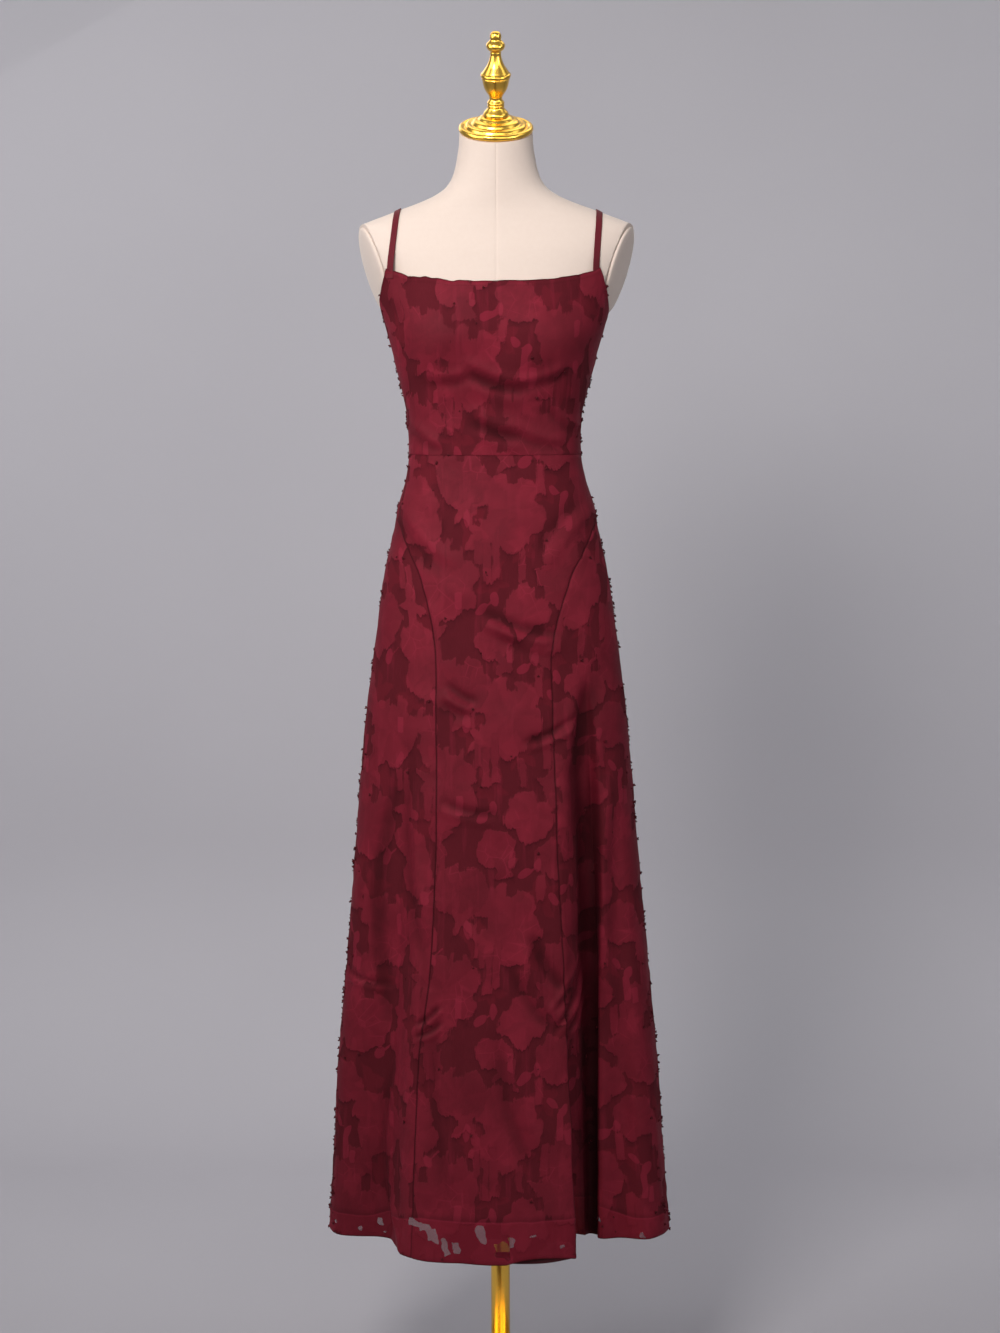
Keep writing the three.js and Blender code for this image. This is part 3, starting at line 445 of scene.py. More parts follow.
def woven_motifs(u, v):
    """Distances inside the satin motifs, buds and faint leaves on the flat cloth, and the satin's tone."""
    satin, tone = np.full(u.shape, -FAR), np.full(u.shape, 0.5)
    warp_u = layered_noise(u, v, WANDER_ACROSS)
    warp_v = layered_noise(u, v, WANDER_UP)
    free_u, free_v = u + warp_u, v + warp_v
    shapes = []
    for across, up, reach, tips, turn, tall, shade in BLOOMS:
        du, dv = from_middle(free_u, free_v, across, up)
        petal = (np.arctan2(dv / tall, du) / (2 * math.pi) * tips + turn) % 1
        shapes.append((bloom(du, dv, reach, tips, turn, tall), shade + 0.45 * (petal - 0.5)))
    for across, up, reach, scallops, shade in ROUND_BLOSSOMS:
        du, dv = from_middle(free_u, free_v, across, up)
        around = np.arctan2(dv, du)
        edge = 0.94 + 0.1 * np.abs(np.cos(around * scallops / 2))
        petal = (around / (2 * math.pi) * scallops) % 1
        shapes.append((reach * edge - np.hypot(du, dv), shade + 0.34 * (petal - 0.5)))
    for across, up, reach, tips, turn, shade in SPRIGS:
        shapes.append((star(*from_middle(free_u, free_v, across, up), reach, tips, turn, 1.1), shade))
    for across, up, wide, tall, shade in BARS:
        shapes.append((block(*from_middle(u + 0.35 * warp_u, v + warp_v, across, up), wide, tall), shade))
    over = np.full(u.shape, FAR)
    for inside, shade in shapes:
        tone = np.where(inside > 0, shade, tone)
        over = np.where(inside > 0, inside, over)
        satin = np.maximum(satin, inside)
    for across, up, wide, tall in BLOCKS_CUT_OUT:
        hole = block(*from_middle(u + 0.4 * warp_u, v + 0.4 * warp_v, across, up), wide, tall)
        satin = np.minimum(satin, -hole)
    buds = np.full(u.shape, -FAR)
    for across, up, wide, tall, lean in BUDS:
        du, dv = from_middle(u + 0.5 * warp_u, v + 0.5 * warp_v, across, up)
        along, beside = du * math.sin(lean) + dv * math.cos(lean), du * math.cos(lean) - dv * math.sin(lean)
        buds = np.maximum(buds, wide * (1 - np.hypot(beside / wide, along / tall)))
    for across, up, wide, tall in BRIGHT_BLOCKS:
        inside = block(*from_middle(u + 0.35 * warp_u, v + 0.8 * warp_v, across, up), wide, tall)
        buds = np.maximum(buds, inside)
    for u0, v0, u1, v1 in STALKS:
        du, dv = from_middle(u, v, u0, v0)
        share = np.clip((du * (u1 - u0) + dv * (v1 - v0)) / ((u1 - u0) ** 2 + (v1 - v0) ** 2), 0, 1)
        buds = np.maximum(buds, 1.2 - np.hypot(du - share * (u1 - u0), dv - share * (v1 - v0)))
    faint = np.full(u.shape, -FAR)
    for across, up, reach, tips, turn in FAINT_LEAVES:
        faint = np.maximum(faint, star(*from_middle(free_u, free_v, across, up), reach, tips, turn, 1.2))
    return {"satin": satin, "tone": tone, "over": over, "bud": buds, "faint": faint}


def sheer_patch_distance(side, x, z):
    """Distance inside the nearest sheer patch at the hem, negative outside."""
    inside = np.full(x.shape, -FAR)
    if side == "front":
        for cx, cz, wide, tall in zip(*(SHEER_PATCHES[c] for c in ("x", "z", "wide", "tall"))):
            dx = x - cx + 0.2 * (z - cz) + 2.5 * soft_noise(x + 500, z, 7, 411)
            dz = z - cz + 3.5 * soft_noise(x + 500, z, 8, 412)
            inside = np.maximum(inside, block(dx, dz, wide, tall))
    return inside


def link(piece):
    bpy.context.scene.collection.objects.link(piece)
    return piece


def new_piece(name, points, faces, material):
    """A new smooth mesh object at the origin; its points are in metres."""
    mesh = bpy.data.meshes.new(name)
    mesh.from_pydata([tuple(p) for p in points], [], faces)
    mesh.polygons.foreach_set("use_smooth", [True] * len(mesh.polygons))
    mesh.materials.append(material)
    mesh.update()
    return link(bpy.data.objects.new(name, mesh))


def grid_faces(rows, columns, flip=False):
    """Quads over a grid of points, row by row."""
    faces = []
    for r in range(rows - 1):
        start = r * columns
        for c in range(columns - 1):
            a = start + c
            quad = (a, a + 1, a + 1 + columns, a + columns)
            faces.append(quad[::-1] if flip else quad)
    return faces


def add_attribute(piece, name, values):
    layer = piece.data.attributes.new(name, "FLOAT", "POINT")
    layer.data.foreach_set("value", np.asarray(values, np.float32).ravel())


def add_flat_map(piece, u, v):
    """Stores the place of each point on the flat cloth, in metres, as the piece's UV map."""
    layer = piece.data.uv_layers.new(name="cloth")
    corner = np.empty(len(piece.data.loops), int)
    piece.data.loops.foreach_get("vertex_index", corner)
    flat = np.stack([u.ravel()[corner] * MM, v.ravel()[corner] * MM], axis=1)
    layer.data.foreach_set("uv", flat.ravel().astype(np.float32))


def give_thickness(piece, thickness):
    solid = piece.modifiers.new("thickness", "SOLIDIFY")
    solid.thickness = thickness * MM
    solid.offset = -1
    solid.use_even_offset = False
    normals = piece.modifiers.new("normals", "WEIGHTED_NORMAL")
    normals.weight = 100


def edge_shares(count, length):
    """Columns across a panel, closer together beside its two seams."""
    close = np.array([0, 0.8, 1.8, 3.2, 5.2]) / length
    middle = np.linspace(8 / length, 1 - 8 / length, count)
    return np.concatenate([close, middle, 1 - close[::-1]])


# What each outer sheet leaves for the thread ends and the stitches
SHEETS = []
STITCH_LINES = []

# How the cloth lies, in millimetres: how high its forms are and how far they reach
SIDE_CALM_TURN = 0.14
FULL_HOLLOW = 3.2
SIDE_FULLNESS = 1.5
LOOSE_FOLDS = {"front": [(1.4, 60, 101), (0.7, 24, 102)], "back": [(1.4, 60, 151), (0.7, 24, 152)]}
SEAM_PULL = 0.9
SEAM_PULL_REACH = 2.4
PUCKER_HEIGHT = 0.9
PUCKER_SIZE = 13
PUCKER_REACH = 12
PUCKER_SEED = 103
HEM_RISE = {"front": [(1.6, 34, 104)], "back": [(1.6, 34, 154)]}
HEM_WAVES = {"front": [(0.8, 21, 105)], "back": [(0.8, 21, 155)]}
HEM_LIFT = 5.5
STITCHES_FROM_EDGE = 6


def along_rows(x, y):
    """How far along its row of the grid each point lies."""
    step = np.hypot(np.diff(x, axis=1), np.diff(y, axis=1))
    return np.concatenate([np.zeros((len(x), 1)), np.cumsum(step, axis=1)], axis=1)


def pushed_points(surface, z, push):
    """The points of a surface, moved outward, in metres."""
    x, y, out_x, out_y = surface
    return np.stack([x + out_x * push, y + out_y * push, z], axis=-1).reshape(-1, 3) * MM


def cloth_push(side, turn, x, z, along, edge_distance):
    """How far the cloth of a panel stands off its plain surface, and how deep its hollows are shaded."""
    inner = soft_step((1 - np.abs(turn)) / SIDE_CALM_TURN)
    push = crease_height(side, x, z) * inner
    hollow = np.clip(-(push - deep_fold(side, x, z)) / FULL_HOLLOW, 0, 1)
    beside = soft_step((np.abs(turn) - 0.6) / 0.4)
    push += SIDE_FULLNESS * beside * soft_step((z - 380) / 120) * soft_step((1080 - z) / 120)
    calm = soft_step((np.abs(z - WAIST_Z) - 1) / 18)
    push += calm * inner * layered_noise(x + 400, z, LOOSE_FOLDS[side])
    for distance in (along, along[:, -1:] - along):
        push -= SEAM_PULL * hump(distance, SEAM_PULL_REACH)
        puckers = soft_noise(z, distance * 0.2, PUCKER_SIZE, PUCKER_SEED)
        push += PUCKER_HEIGHT * puckers * np.exp(-distance / PUCKER_REACH)
    push -= 1.1 * hump(edge_distance, 1.5)
    push += 0.5 * hump(edge_distance - 4, 2.5)
    return push, hollow


def cloth_sheet(name, side, turn, z, seed, edge_distance, slit_open=False, hem=False):
    """A panel of the dress's cloth over a grid of turns and heights, with its pattern and flat map."""
    surface = dress_surface(side, turn, z, slit_open)
    x, y, out_x, out_y = surface
    along = along_rows(x, y)
    push, hollow = cloth_push(side, turn, x, z, along, edge_distance)
    if hem:
        inner = soft_step((1 - np.abs(turn)) / SIDE_CALM_TURN)
        push -= 0.85 * soft_step((z - WAIST_Z + WAIST_LAP) / WAIST_LAP)
        waves = inner * layered_noise(x + 300, z * 0 + 5, HEM_WAVES[side])
        push += waves * soft_step((HEM_Z + 40 - z) / 40)
        if name.startswith("skirt_front_centre"):
            lift = HEM_LIFT * np.sin(np.clip((x - 8) / 96, 0, 1) * math.pi) ** 0.8
            z = z + lift * soft_step((HEM_Z + 26 - z) / 26)
        rise = inner * layered_noise(x + 300, z * 0 + 7, HEM_RISE[side])
        z = z + rise * soft_step((HEM_Z + 30 - z) / 30)
    points = pushed_points(surface, z, push)
    faces = grid_faces(*x.shape, flip=side == "back")
    piece = new_piece(name, points, faces, DRESS_CLOTH)
    row = np.abs(edge_distance[:, len(edge_distance[0]) // 2] - STITCHES_FROM_EDGE).argmin()
    outward = np.stack([out_x, out_y, z * 0], axis=-1)[row] * 0.1 * MM
    STITCH_LINES.append(points.reshape(*x.shape, 3)[row] + outward)
    u, v = along - along[:, -1:] / 2, z
    add_flat_map(piece, u, v)
    woven = woven_motifs(u + 37.0 * seed, v + 61.0 * seed)
    lining_line = LINING_HEM_Z + 1.5 - 27 * soft_step((np.abs(x) - 105) / 80)
    distances = {
        "edge": edge_distance,
        "satin": woven["satin"],
        "bud": woven["bud"],
        "faint": woven["faint"],
        "over": woven["over"],
        "lining_line": z - lining_line,
        "seam": np.minimum(along, along[:, -1:] - along),
        "sheer": sheer_patch_distance(side, x, z),
    }
    for title, values in distances.items():
        add_attribute(piece, title, values * MM)
    add_attribute(piece, "tone", woven["tone"])
    upward = np.gradient(woven["satin"], axis=0) / np.gradient(v, axis=0)
    add_attribute(piece, "under", np.clip(upward, 0, 1))
    # Painted shade: the fold beside the right seam, the crease hollows and the low left panel are darkened
    add_attribute(piece, "shade", np.maximum(fold_shade(side, x, z), 0.62 * hollow))
    near_rim = np.maximum(hump(1 - np.abs(turn), 0.1), 0.5 * hump(edge_distance, 3))
    if hem:
        near_rim = np.maximum(near_rim, 0.6 * hump(z - HEM_Z, 7))
    SHEETS.append((points, faces, woven["satin"], near_rim))
    give_thickness(piece, SHELL)
    return piece


def math_method(operation, swapped=False):
    """A method for one sign between a value and another value or number."""

    def method(self, other):
        return self.math(operation, other, self) if swapped else self.math(operation, self, other)

    return method


class Value:
    """A number that varies over a surface: sums and products of it add Math nodes."""

    def __init__(self, tree, socket):
        self.tree = tree
        self.socket = socket

    def math(self, operation, *parts):
        node = self.tree.nodes.new("ShaderNodeMath")
        node.operation = operation
        for slot, part in zip(node.inputs, parts):
            connect(self.tree, slot, part)
        return Value(self.tree, node.outputs[0])

    __add__ = math_method("ADD")
    __radd__ = math_method("ADD", swapped=True)
    __sub__ = math_method("SUBTRACT")
    __rsub__ = math_method("SUBTRACT", swapped=True)
    __mul__ = math_method("MULTIPLY")
    __rmul__ = math_method("MULTIPLY", swapped=True)
    __truediv__ = math_method("DIVIDE")

    def absolute(self):
        return self.math("ABSOLUTE", self)

    def ramp(self, start, width):
        """0 up to the start, 1 from a width beyond it, and straight between."""
        return ((self - start) / width).clamped()

    def inside(self, softness):
        """1 inside an outline and 0 outside, from the distance inside it."""
        return (self / softness + 0.5).clamped()

    def clamped(self):
        node = self.tree.nodes.new("ShaderNodeClamp")
        connect(self.tree, node.inputs[0], self)
        return Value(self.tree, node.outputs[0])


def connect(tree, slot, part):
    if isinstance(part, Value):
        tree.links.new(part.socket, slot)
    else:
        slot.default_value = part


class Finish:
    """A material under construction, with one method for every kind of node."""

    def __init__(self, name):
        self.material = bpy.data.materials.new(name)
        self.material.use_nodes = True
        self.tree = self.material.node_tree
        self.tree.nodes.clear()

    def node(self, kind, settings=None, values=None, out=0):
        node = self.tree.nodes.new(kind)
        for name, setting in (settings or {}).items():
            setattr(node, name, setting)
        for name, part in (values or {}).items():
            connect(self.tree, node.inputs[name], part)
        return Value(self.tree, node.outputs[out]) if node.outputs else None

    def stretched(self, place, scale):
        """The same coordinates, scaled along each axis."""
        return self.node("ShaderNodeMapping", None, {"Vector": place, "Scale": scale})

    def flat_place(self):
        return self.node("ShaderNodeUVMap", {"uv_map": "cloth"})

    def object_place(self):
        return self.node("ShaderNodeTexCoord", None, None, out=3)

    def noise(self, place, scale, detail, roughness):
        values = {"Vector": place, "Scale": scale, "Detail": detail, "Roughness": roughness}
        return self.node("ShaderNodeTexNoise", None, values)

    def colour(self, share, first, second):
        settings = {"data_type": "RGBA"}
        return self.node("ShaderNodeMix", settings, {0: share, 6: first, 7: second}, out=2)

    def layers(self, base, *layers):
        """Colours laid over a base one after the other, each by its own share."""
        for share, tint in layers:
            base = self.colour(share, base, tint)
        return base

    def weave(self, flat, direction):
        """Fine bands across the flat cloth."""
        values = {"Vector": flat, "Scale": 330.0}
        return self.node("ShaderNodeTexWave", {"bands_direction": direction}, values)

    def bump(self, height, distance, strength):
        values = {"Height": height, "Distance": distance, "Strength": strength}
        return self.node("ShaderNodeBump", None, values)

    def finish(self, values):
        surface = self.node("ShaderNodeBsdfPrincipled", None, values)
        self.node("ShaderNodeOutputMaterial", None, {"Surface": surface})
        return self.material


def rgb(red, green, blue):
    return (red, green, blue, 1.0)


# The dress's reds, as linear colours
GROUND = rgb(0.104, 0.0092, 0.0155)
GROUND_DEEP = rgb(0.066, 0.0062, 0.0102)
FAINT_RED = rgb(0.130, 0.0092, 0.0172)
SATIN = rgb(0.212, 0.0140, 0.0290)
SATIN_DEEP = rgb(0.128, 0.0090, 0.0180)
# Bud red, also used as a painted highlight along the lining's hem edge
BUD_AND_HIGHLIGHT_RED = rgb(0.285, 0.0190, 0.0420)
SHEER_RED = rgb(0.180, 0.0105, 0.0230)
# Painted shade: the near black that the fold, the hollows and the low left panel are darkened towards
PAINTED_SHADE_DARK = rgb(0.010, 0.0012, 0.0016)
# Dark of the seams and turned edges, also used as painted shadow under the motifs and above the lining's
# hem
SEAM_AND_SHADE_DARK = rgb(0.024, 0.0026, 0.0045)


def dress_cloth_finish():
    """Burnout chiffon: satin flowers on a darker sheer ground, with a fine weave, and painted shade, shadow
    and highlight in its colour.
    """
    make = Finish("burnout_chiffon")
    flat = make.flat_place()
    names = "satin bud faint tone under over sheer edge seam shade lining_line"
    woven = {
        name: make.node("ShaderNodeAttribute", {"attribute_name": name}, None, out=2)
        for name in names.split()
    }
    coarse = make.noise(flat, 48, 3, 0.6) - 0.5
    fine = make.noise(flat, 420, 2, 0.5) - 0.5
    cloudy = make.noise(flat, 12, 3, 0.55)
    steps = make.noise(make.stretched(flat, (240, 26, 1)), 1, 3, 0.6) - 0.5
    distance = woven["satin"] + coarse * 0.010 + fine * 0.0016 + steps * 0.011
    satin = distance.inside(0.0018)
    faint = (woven["faint"] + coarse * 0.008 + fine * 0.001).inside(0.003)
    bud = (woven["bud"] + coarse * 0.003 + fine * 0.0008).inside(0.0008)
    shadow = (1 - ((distance + 0.0012) / 0.0014).absolute()).clamped() * woven["under"]
    soft_shadow = ((distance + 0.011) / 0.011).clamped() * (1 - satin) * woven["under"]
    streaks = make.noise(make.stretched(flat, (1100, 130, 1)), 1, 2, 0.6)
    drips = make.noise(make.stretched(flat, (75, 9, 1)), 1, 3, 0.55)
    cell = {"feature": "DISTANCE_TO_EDGE"}
    edges = make.node("ShaderNodeTexVoronoi", cell, {"Vector": flat, "Scale": 42.0, "Randomness": 1.0})
    veins = (1 - (edges + coarse * 0.05).absolute() / 0.035).clamped() * cloudy.ramp(0.52, 0.06)
    above_lining_hem = woven["lining_line"] + coarse * 0.004
    hem_band = (above_lining_hem * -1 / 0.0008).clamped()
    # Painted highlight: a bright line along the lining's hem edge, seen through the sheer
    lining_hem_highlight = (1 - (above_lining_hem / 0.0024).absolute()).clamped() * cloudy
    hem_shadow = (1 - above_lining_hem / 0.009).clamped() * (above_lining_hem / 0.001).clamped()
    patchy = make.noise(flat, 26, 4, 0.65)
    tone = (woven["tone"] * 0.85 + patchy * 0.9 + faint * 0.3 - 0.55).clamped()
    veil = cloudy.ramp(0.36, 0.2)
    # Outlines where one motif lies over another, darker on their lower edges as painted shadow
    overlap = (1 - (woven["over"] + fine * 0.0012) / 0.0016).clamped() * satin
    seam = (1 - woven["seam"] / 0.0018).clamped()
    turned = (1 - (woven["edge"] + coarse * 0.001) / 0.0022).clamped()
    ground = make.layers(
        make.colour(cloudy, GROUND_DEEP, GROUND),
        (faint * 0.6, FAINT_RED),
        (soft_shadow * 0.45, SEAM_AND_SHADE_DARK),
        (hem_band * 0.6, SHEER_RED),
    )
    base = make.layers(
        ground,
        (satin * (0.62 + veil * 0.38), make.colour(tone, SATIN_DEEP, SATIN)),
        (bud * 0.5, BUD_AND_HIGHLIGHT_RED),
        (drips.ramp(0.56, 0.14) * 0.24, BUD_AND_HIGHLIGHT_RED),
        (veins * satin * 0.5, BUD_AND_HIGHLIGHT_RED),
        (shadow * 0.55 * veil, SEAM_AND_SHADE_DARK),
        (overlap * (0.32 + woven["under"] * 0.35) * veil, SEAM_AND_SHADE_DARK),
        (seam * 0.9, SEAM_AND_SHADE_DARK),
        (streaks * 0.16, BUD_AND_HIGHLIGHT_RED),
        (hem_band * 0.3, SHEER_RED),
        (lining_hem_highlight * 0.9, BUD_AND_HIGHLIGHT_RED),
        (hem_shadow * 0.4, SEAM_AND_SHADE_DARK),
        (turned * 0.75, SEAM_AND_SHADE_DARK),
        # painted shade in the fold, the hollows and the low left panel
        (woven["shade"] * 0.9, PAINTED_SHADE_DARK),
    )
    window = (woven["sheer"] + coarse * 0.009 + fine * 0.001).inside(0.0006)
    weave = make.weave(flat, "X") + make.weave(flat, "Y")
    height_map = satin * 0.8 + bud * 0.5 + streaks * 0.35 + weave * 0.12 + fine * 0.3
    return make.finish(
        {
            "Base Color": base,
            "Roughness": 0.78 - satin * 0.22 + streaks * 0.08,
            "Alpha": 1 - window * 0.46,
            "Normal": make.bump(height_map, 0.0006, 0.55),
            "Specular IOR Level": 0.06,
            "Sheen Weight": 0.02,
            "Sheen Roughness": 0.4,
            "Sheen Tint": rgb(0.9, 0.2, 0.3),
        }
    )


def lining_finish():
    """Smooth dark lining with a faint crosswise grain."""
    make = Finish("dark_lining")
    flat = make.flat_place()
    grain = make.noise(make.stretched(flat, (700, 120, 1)), 1, 2, 0.6)
    cloudy = make.noise(flat, 12, 2, 0.5)
    base = make.colour(cloudy * 0.7 + grain * 0.3, rgb(0.026, 0.0035, 0.0060), rgb(0.052, 0.0050, 0.0090))
    return make.finish(
        {
            "Base Color": base,
            "Roughness": 0.55 + grain * 0.15,
            "Normal": make.bump(grain, 0.0002, 0.5),
            "Specular IOR Level": 0.08,
        }
    )


def form_cloth_finish():
    """Cream stretch jersey, a little darker and warmer in soft random patches, and finely knitted."""
    make = Finish("cream_jersey")
    place = make.object_place()
    cloudy = make.noise(place, 6, 3, 0.5)
    knit = make.noise(make.stretched(place, (1400, 1400, 2200)), 1, 1, 0.5)
    specks = make.noise(place, 160, 2, 0.6)
    base = make.colour(cloudy, rgb(0.705, 0.575, 0.500), rgb(0.752, 0.625, 0.548))
    base = make.colour((specks * 0.5 + knit * 0.3 - 0.2).clamped(), base, rgb(0.785, 0.665, 0.595))
    return make.finish(
        {
            "Base Color": base,
            "Roughness": 0.78 + knit * 0.12,
            "Normal": make.bump(knit * 0.7 + specks * 0.5, 0.0003, 0.4),
            "Sheen Weight": 0.2,
            "Sheen Roughness": 0.5,
        }
    )


def gold_finish():
    """Polished gold plating with faint turning marks and a slight haze."""
    make = Finish("polished_gold")
    place = make.object_place()
    haze = make.noise(place, 30, 3, 0.55)
    marks = make.noise(make.stretched(place, (60, 60, 1500)), 1, 2, 0.5)
    base = make.colour(haze, rgb(0.90, 0.53, 0.075), rgb(0.96, 0.63, 0.12))
    return make.finish(
        {
            "Base Color": base,
            "Metallic": 1.0,
            "Roughness": 0.19 + haze * 0.1 + marks * 0.03,
            "Normal": make.bump(marks, 0.0001, 0.15),
        }
    )


def studio_finish():
    """Pale grey paper for the floor and the wall, clear from its rear so that the back view is open."""
    make = Finish("pale_paper")
    place = make.object_place()
    cloudy = make.noise(place, 1.3, 2, 0.5)
    base = make.colour(cloudy, rgb(0.50, 0.485, 0.52), rgb(0.56, 0.545, 0.58))
    rear = make.node("ShaderNodeNewGeometry", None, None, out="Backfacing")
    return make.finish({"Base Color": base, "Roughness": 0.9, "Specular IOR Level": 0.1, "Alpha": 1 - rear})


DRESS_CLOTH = dress_cloth_finish()
LINING = lining_finish()
FORM_CLOTH = form_cloth_finish()
GOLD = gold_finish()


def settle(piece, slot, *nodes):
    """Puts a finished piece on the one body and hides the plain nodes that it stands for; its slot is not
    used.
    """
    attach(piece, "root")
    if nodes:
        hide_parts(*nodes)
    return piece


def seam_edge(which, way):
    """The edge of a panel along a front seam, as turns at given heights."""

    def edge(z):
        turn = read(FRONT_SEAMS, "z", which, z)
        moved = turn + way * turn_for(SLANTED_SEAM_GAP / 2, "front", turn, z)
        share = turn_for(SEAM_GAP / 2, "front", np.ones_like(z), z)
        return np.clip(moved, share - 1, 1 - share)

    return edge


def side_edge(side, way):
    return lambda z: way * (1 - turn_for(SEAM_GAP / 2, side, way * np.ones_like(z), z))


def middle_edge(way):
    return lambda z: way * turn_for(SEAM_GAP / 2, "back", np.zeros_like(z), z)


CENTRE_EDGES = (seam_edge("left", 1), seam_edge("right", -1))
LEFT_EDGES = (side_edge("front", -1), seam_edge("left", -1))
RIGHT_EDGES = (seam_edge("right", 1), side_edge("front", 1))
BACK_LEFT_EDGES = (side_edge("back", -1), middle_edge(-1))
BACK_RIGHT_EDGES = (middle_edge(1), side_edge("back", 1))
BACK_EDGES = (side_edge("back", -1), side_edge("back", 1))

SKIRT_TOP = WAIST_Z + WAIST_LAP
SIDE_TOP = SEAM_TIP_Z - 1
LINING_TOP = 1300
LINING_SIDE_TOP = 1200
SKIRT_PANELS = [
    # name, edges, columns, top, length of a row, seed, flat width, length and area in metres
    ("skirt_front_centre", CENTRE_EDGES, 84, SKIRT_TOP, 190, 11, (0.275, 1.075, 0.206)),
    ("skirt_front_left", LEFT_EDGES, 56, SIDE_TOP, 150, 23, (0.2, 0.995, 0.149)),
    ("skirt_front_right", RIGHT_EDGES, 66, SIDE_TOP, 160, 37, (0.235, 0.995, 0.174)),
    ("skirt_back_left", BACK_LEFT_EDGES, 84, SKIRT_TOP, 220, 41, (0.36, 1.085, 0.27)),
    ("skirt_back_right", BACK_RIGHT_EDGES, 84, SKIRT_TOP, 220, 53, (0.36, 1.085, 0.27)),
]
LINING_PANELS = [
    # name, edges, columns, top, flat width, length and area in metres
    ("lining_front_centre", CENTRE_EDGES, 36, LINING_TOP, (0.265, 1.005, 0.186)),
    ("lining_front_left", LEFT_EDGES, 30, LINING_SIDE_TOP, (0.19, 0.905, 0.133)),
    ("lining_front_right", RIGHT_EDGES, 36, LINING_SIDE_TOP, (0.21, 0.905, 0.149)),
    ("lining_back", BACK_EDGES, 90, LINING_TOP, (0.66, 1.005, 0.475)),
]
ROW_STEP = 3.1
BODICE_ROWS = np.concatenate([np.linspace(0, 0.97, 66), [0.98, 0.99, 1.0]])
LINING_ROW_STEP = 9
LINING_SHARES = (0.004, 0.996)
LINING_THICKNESS = 0.4


def side_of(name):
    return "front" if "_front" in name else "back"


def panel_grid(edges, top, bottom, shares, step):
    """Turns and heights over a panel, row by row from the bottom up."""
    heights = np.linspace(top, bottom, int((top - bottom) / step) + 1)[::-1]
    start, end = edges[0](heights), edges[1](heights)
    turn = start[:, None] + (end - start)[:, None] * shares[None, :]
    return turn, np.broadcast_to(heights[:, None], turn.shape)


def add_skirt():
    """The outer skirt's five panels, each a thin sheet on its solid's form."""
    for name, edges, columns, top, length, seed, cut in SKIRT_PANELS:
        side = side_of(name)
        turn, z = panel_grid(edges, top, HEM_Z, edge_shares(columns, length), ROW_STEP)
        slit_open = name == "skirt_front_right"
        piece = cloth_sheet(name + "_cloth", side, turn, z, seed, z - HEM_Z, slit_open, hem=True)
        settle(piece, "dress_cloth", name)


def front_top(turn):
    """Height of the front's upper edge: a scooped neck, and armholes down to the underarm."""
    out = np.abs(turn)
    scoop = mix(SCOOP_Z, CORNER_Z, np.minimum(out / CORNER_TURN, 1) ** 2.4)
    arm = np.clip((out - CORNER_TURN) / (1 - CORNER_TURN), 0, 1) ** 0.85
    return np.where(out <= CORNER_TURN, scoop, mix(CORNER_Z, UNDERARM_Z, arm))


def back_top(turn):
    """Height of the back's upper edge."""
    return mix(BACK_TOP_Z, UNDERARM_Z, turn * turn)


BODICE_EDGE = 1 - turn_for(SEAM_GAP / 2, "front", np.ones(1), np.array([WAIST_Z]))[0]
BODICE_MIDDLE = turn_for(SEAM_GAP / 2, "back", np.zeros(1), np.array([WAIST_Z]))[0]


RIPPLE_REACH = 16
RIPPLE_SIZE = 3.6
RIPPLE_SEED = 5


def neck_ripple(turn, z, top):
    """The turned neck edge ripples a little, most of all on the wearer's right."""
    near_top = soft_step(1 - (top - z) / RIPPLE_REACH)
    strength = 0.9 + 1.9 * hump(turn + 0.3, 0.17)
    return strength * soft_noise(turn * 100 + 50, z * 0 + 3, RIPPLE_SIZE, RIPPLE_SEED) * near_top


def add_bodice():
    """The bodice's front and its two back pieces, up to their turned edges."""
    pieces = [
        ("bodice_front", -BODICE_EDGE, BODICE_EDGE, front_top, 118, 360, 61, (0.40, 0.245, 0.0845)),
        ("bodice_back_left", -BODICE_EDGE, -BODICE_MIDDLE, back_top, 52, 180, 67, (0.19, 0.185, 0.031)),
        ("bodice_back_right", BODICE_MIDDLE, BODICE_EDGE, back_top, 52, 180, 71, (0.19, 0.185, 0.031)),
    ]
    for name, start, end, top_at, columns, length, seed, cut in pieces:
        side = side_of(name)
        turn_row = start + (end - start) * edge_shares(columns, length)
        if side == "front":
            for corner in (-CORNER_TURN, CORNER_TURN):
                turn_row[np.abs(turn_row - corner).argmin()] = corner
        top = top_at(turn_row)[None, :]
        turn = np.broadcast_to(turn_row[None, :], (len(BODICE_ROWS), len(turn_row)))
        z = mix(WAIST_Z, top, BODICE_ROWS[:, None])
        if side == "front":
            ripple = neck_ripple(turn, z, top)
            z, top = z + ripple, top + ripple
        piece = cloth_sheet(name + "_cloth", side, turn, z, seed, top - z)
        settle(piece, "dress_cloth", name)


def lining_depth(z):
    """How far the lining lies inside the dress, in millimetres: close at the waist, looser below."""
    return mix(1.5, 5, np.clip((WAIST_Z - z) / 130, 0, 1))


def add_lining():
    """The skirt's lining, which ends above the hem and shows behind the sheer band."""
    for name, edges, columns, top, cut in LINING_PANELS:
        side = side_of(name)
        shares = np.linspace(*LINING_SHARES, columns)
        turn, z = panel_grid(edges, top, LINING_HEM_Z, shares, LINING_ROW_STEP)
        surface = dress_surface(side, turn, z, name == "lining_front_right")
        x, y = surface[:2]
        hollow = np.minimum.reduce([crease_height(side, x + aside, z) for aside in (-7, -3.5, 0, 3.5, 7)])
        inset = lining_depth(z) + PART_GAP - np.minimum(hollow, 0)
        faces = grid_faces(*x.shape, flip=side == "back")
        piece = new_piece(name + "_cloth", pushed_points(surface, z, -inset), faces, LINING)
        add_flat_map(piece, along_rows(x, y), z)
        give_thickness(piece, LINING_THICKNESS)
        settle(piece, "lining_cloth", name)


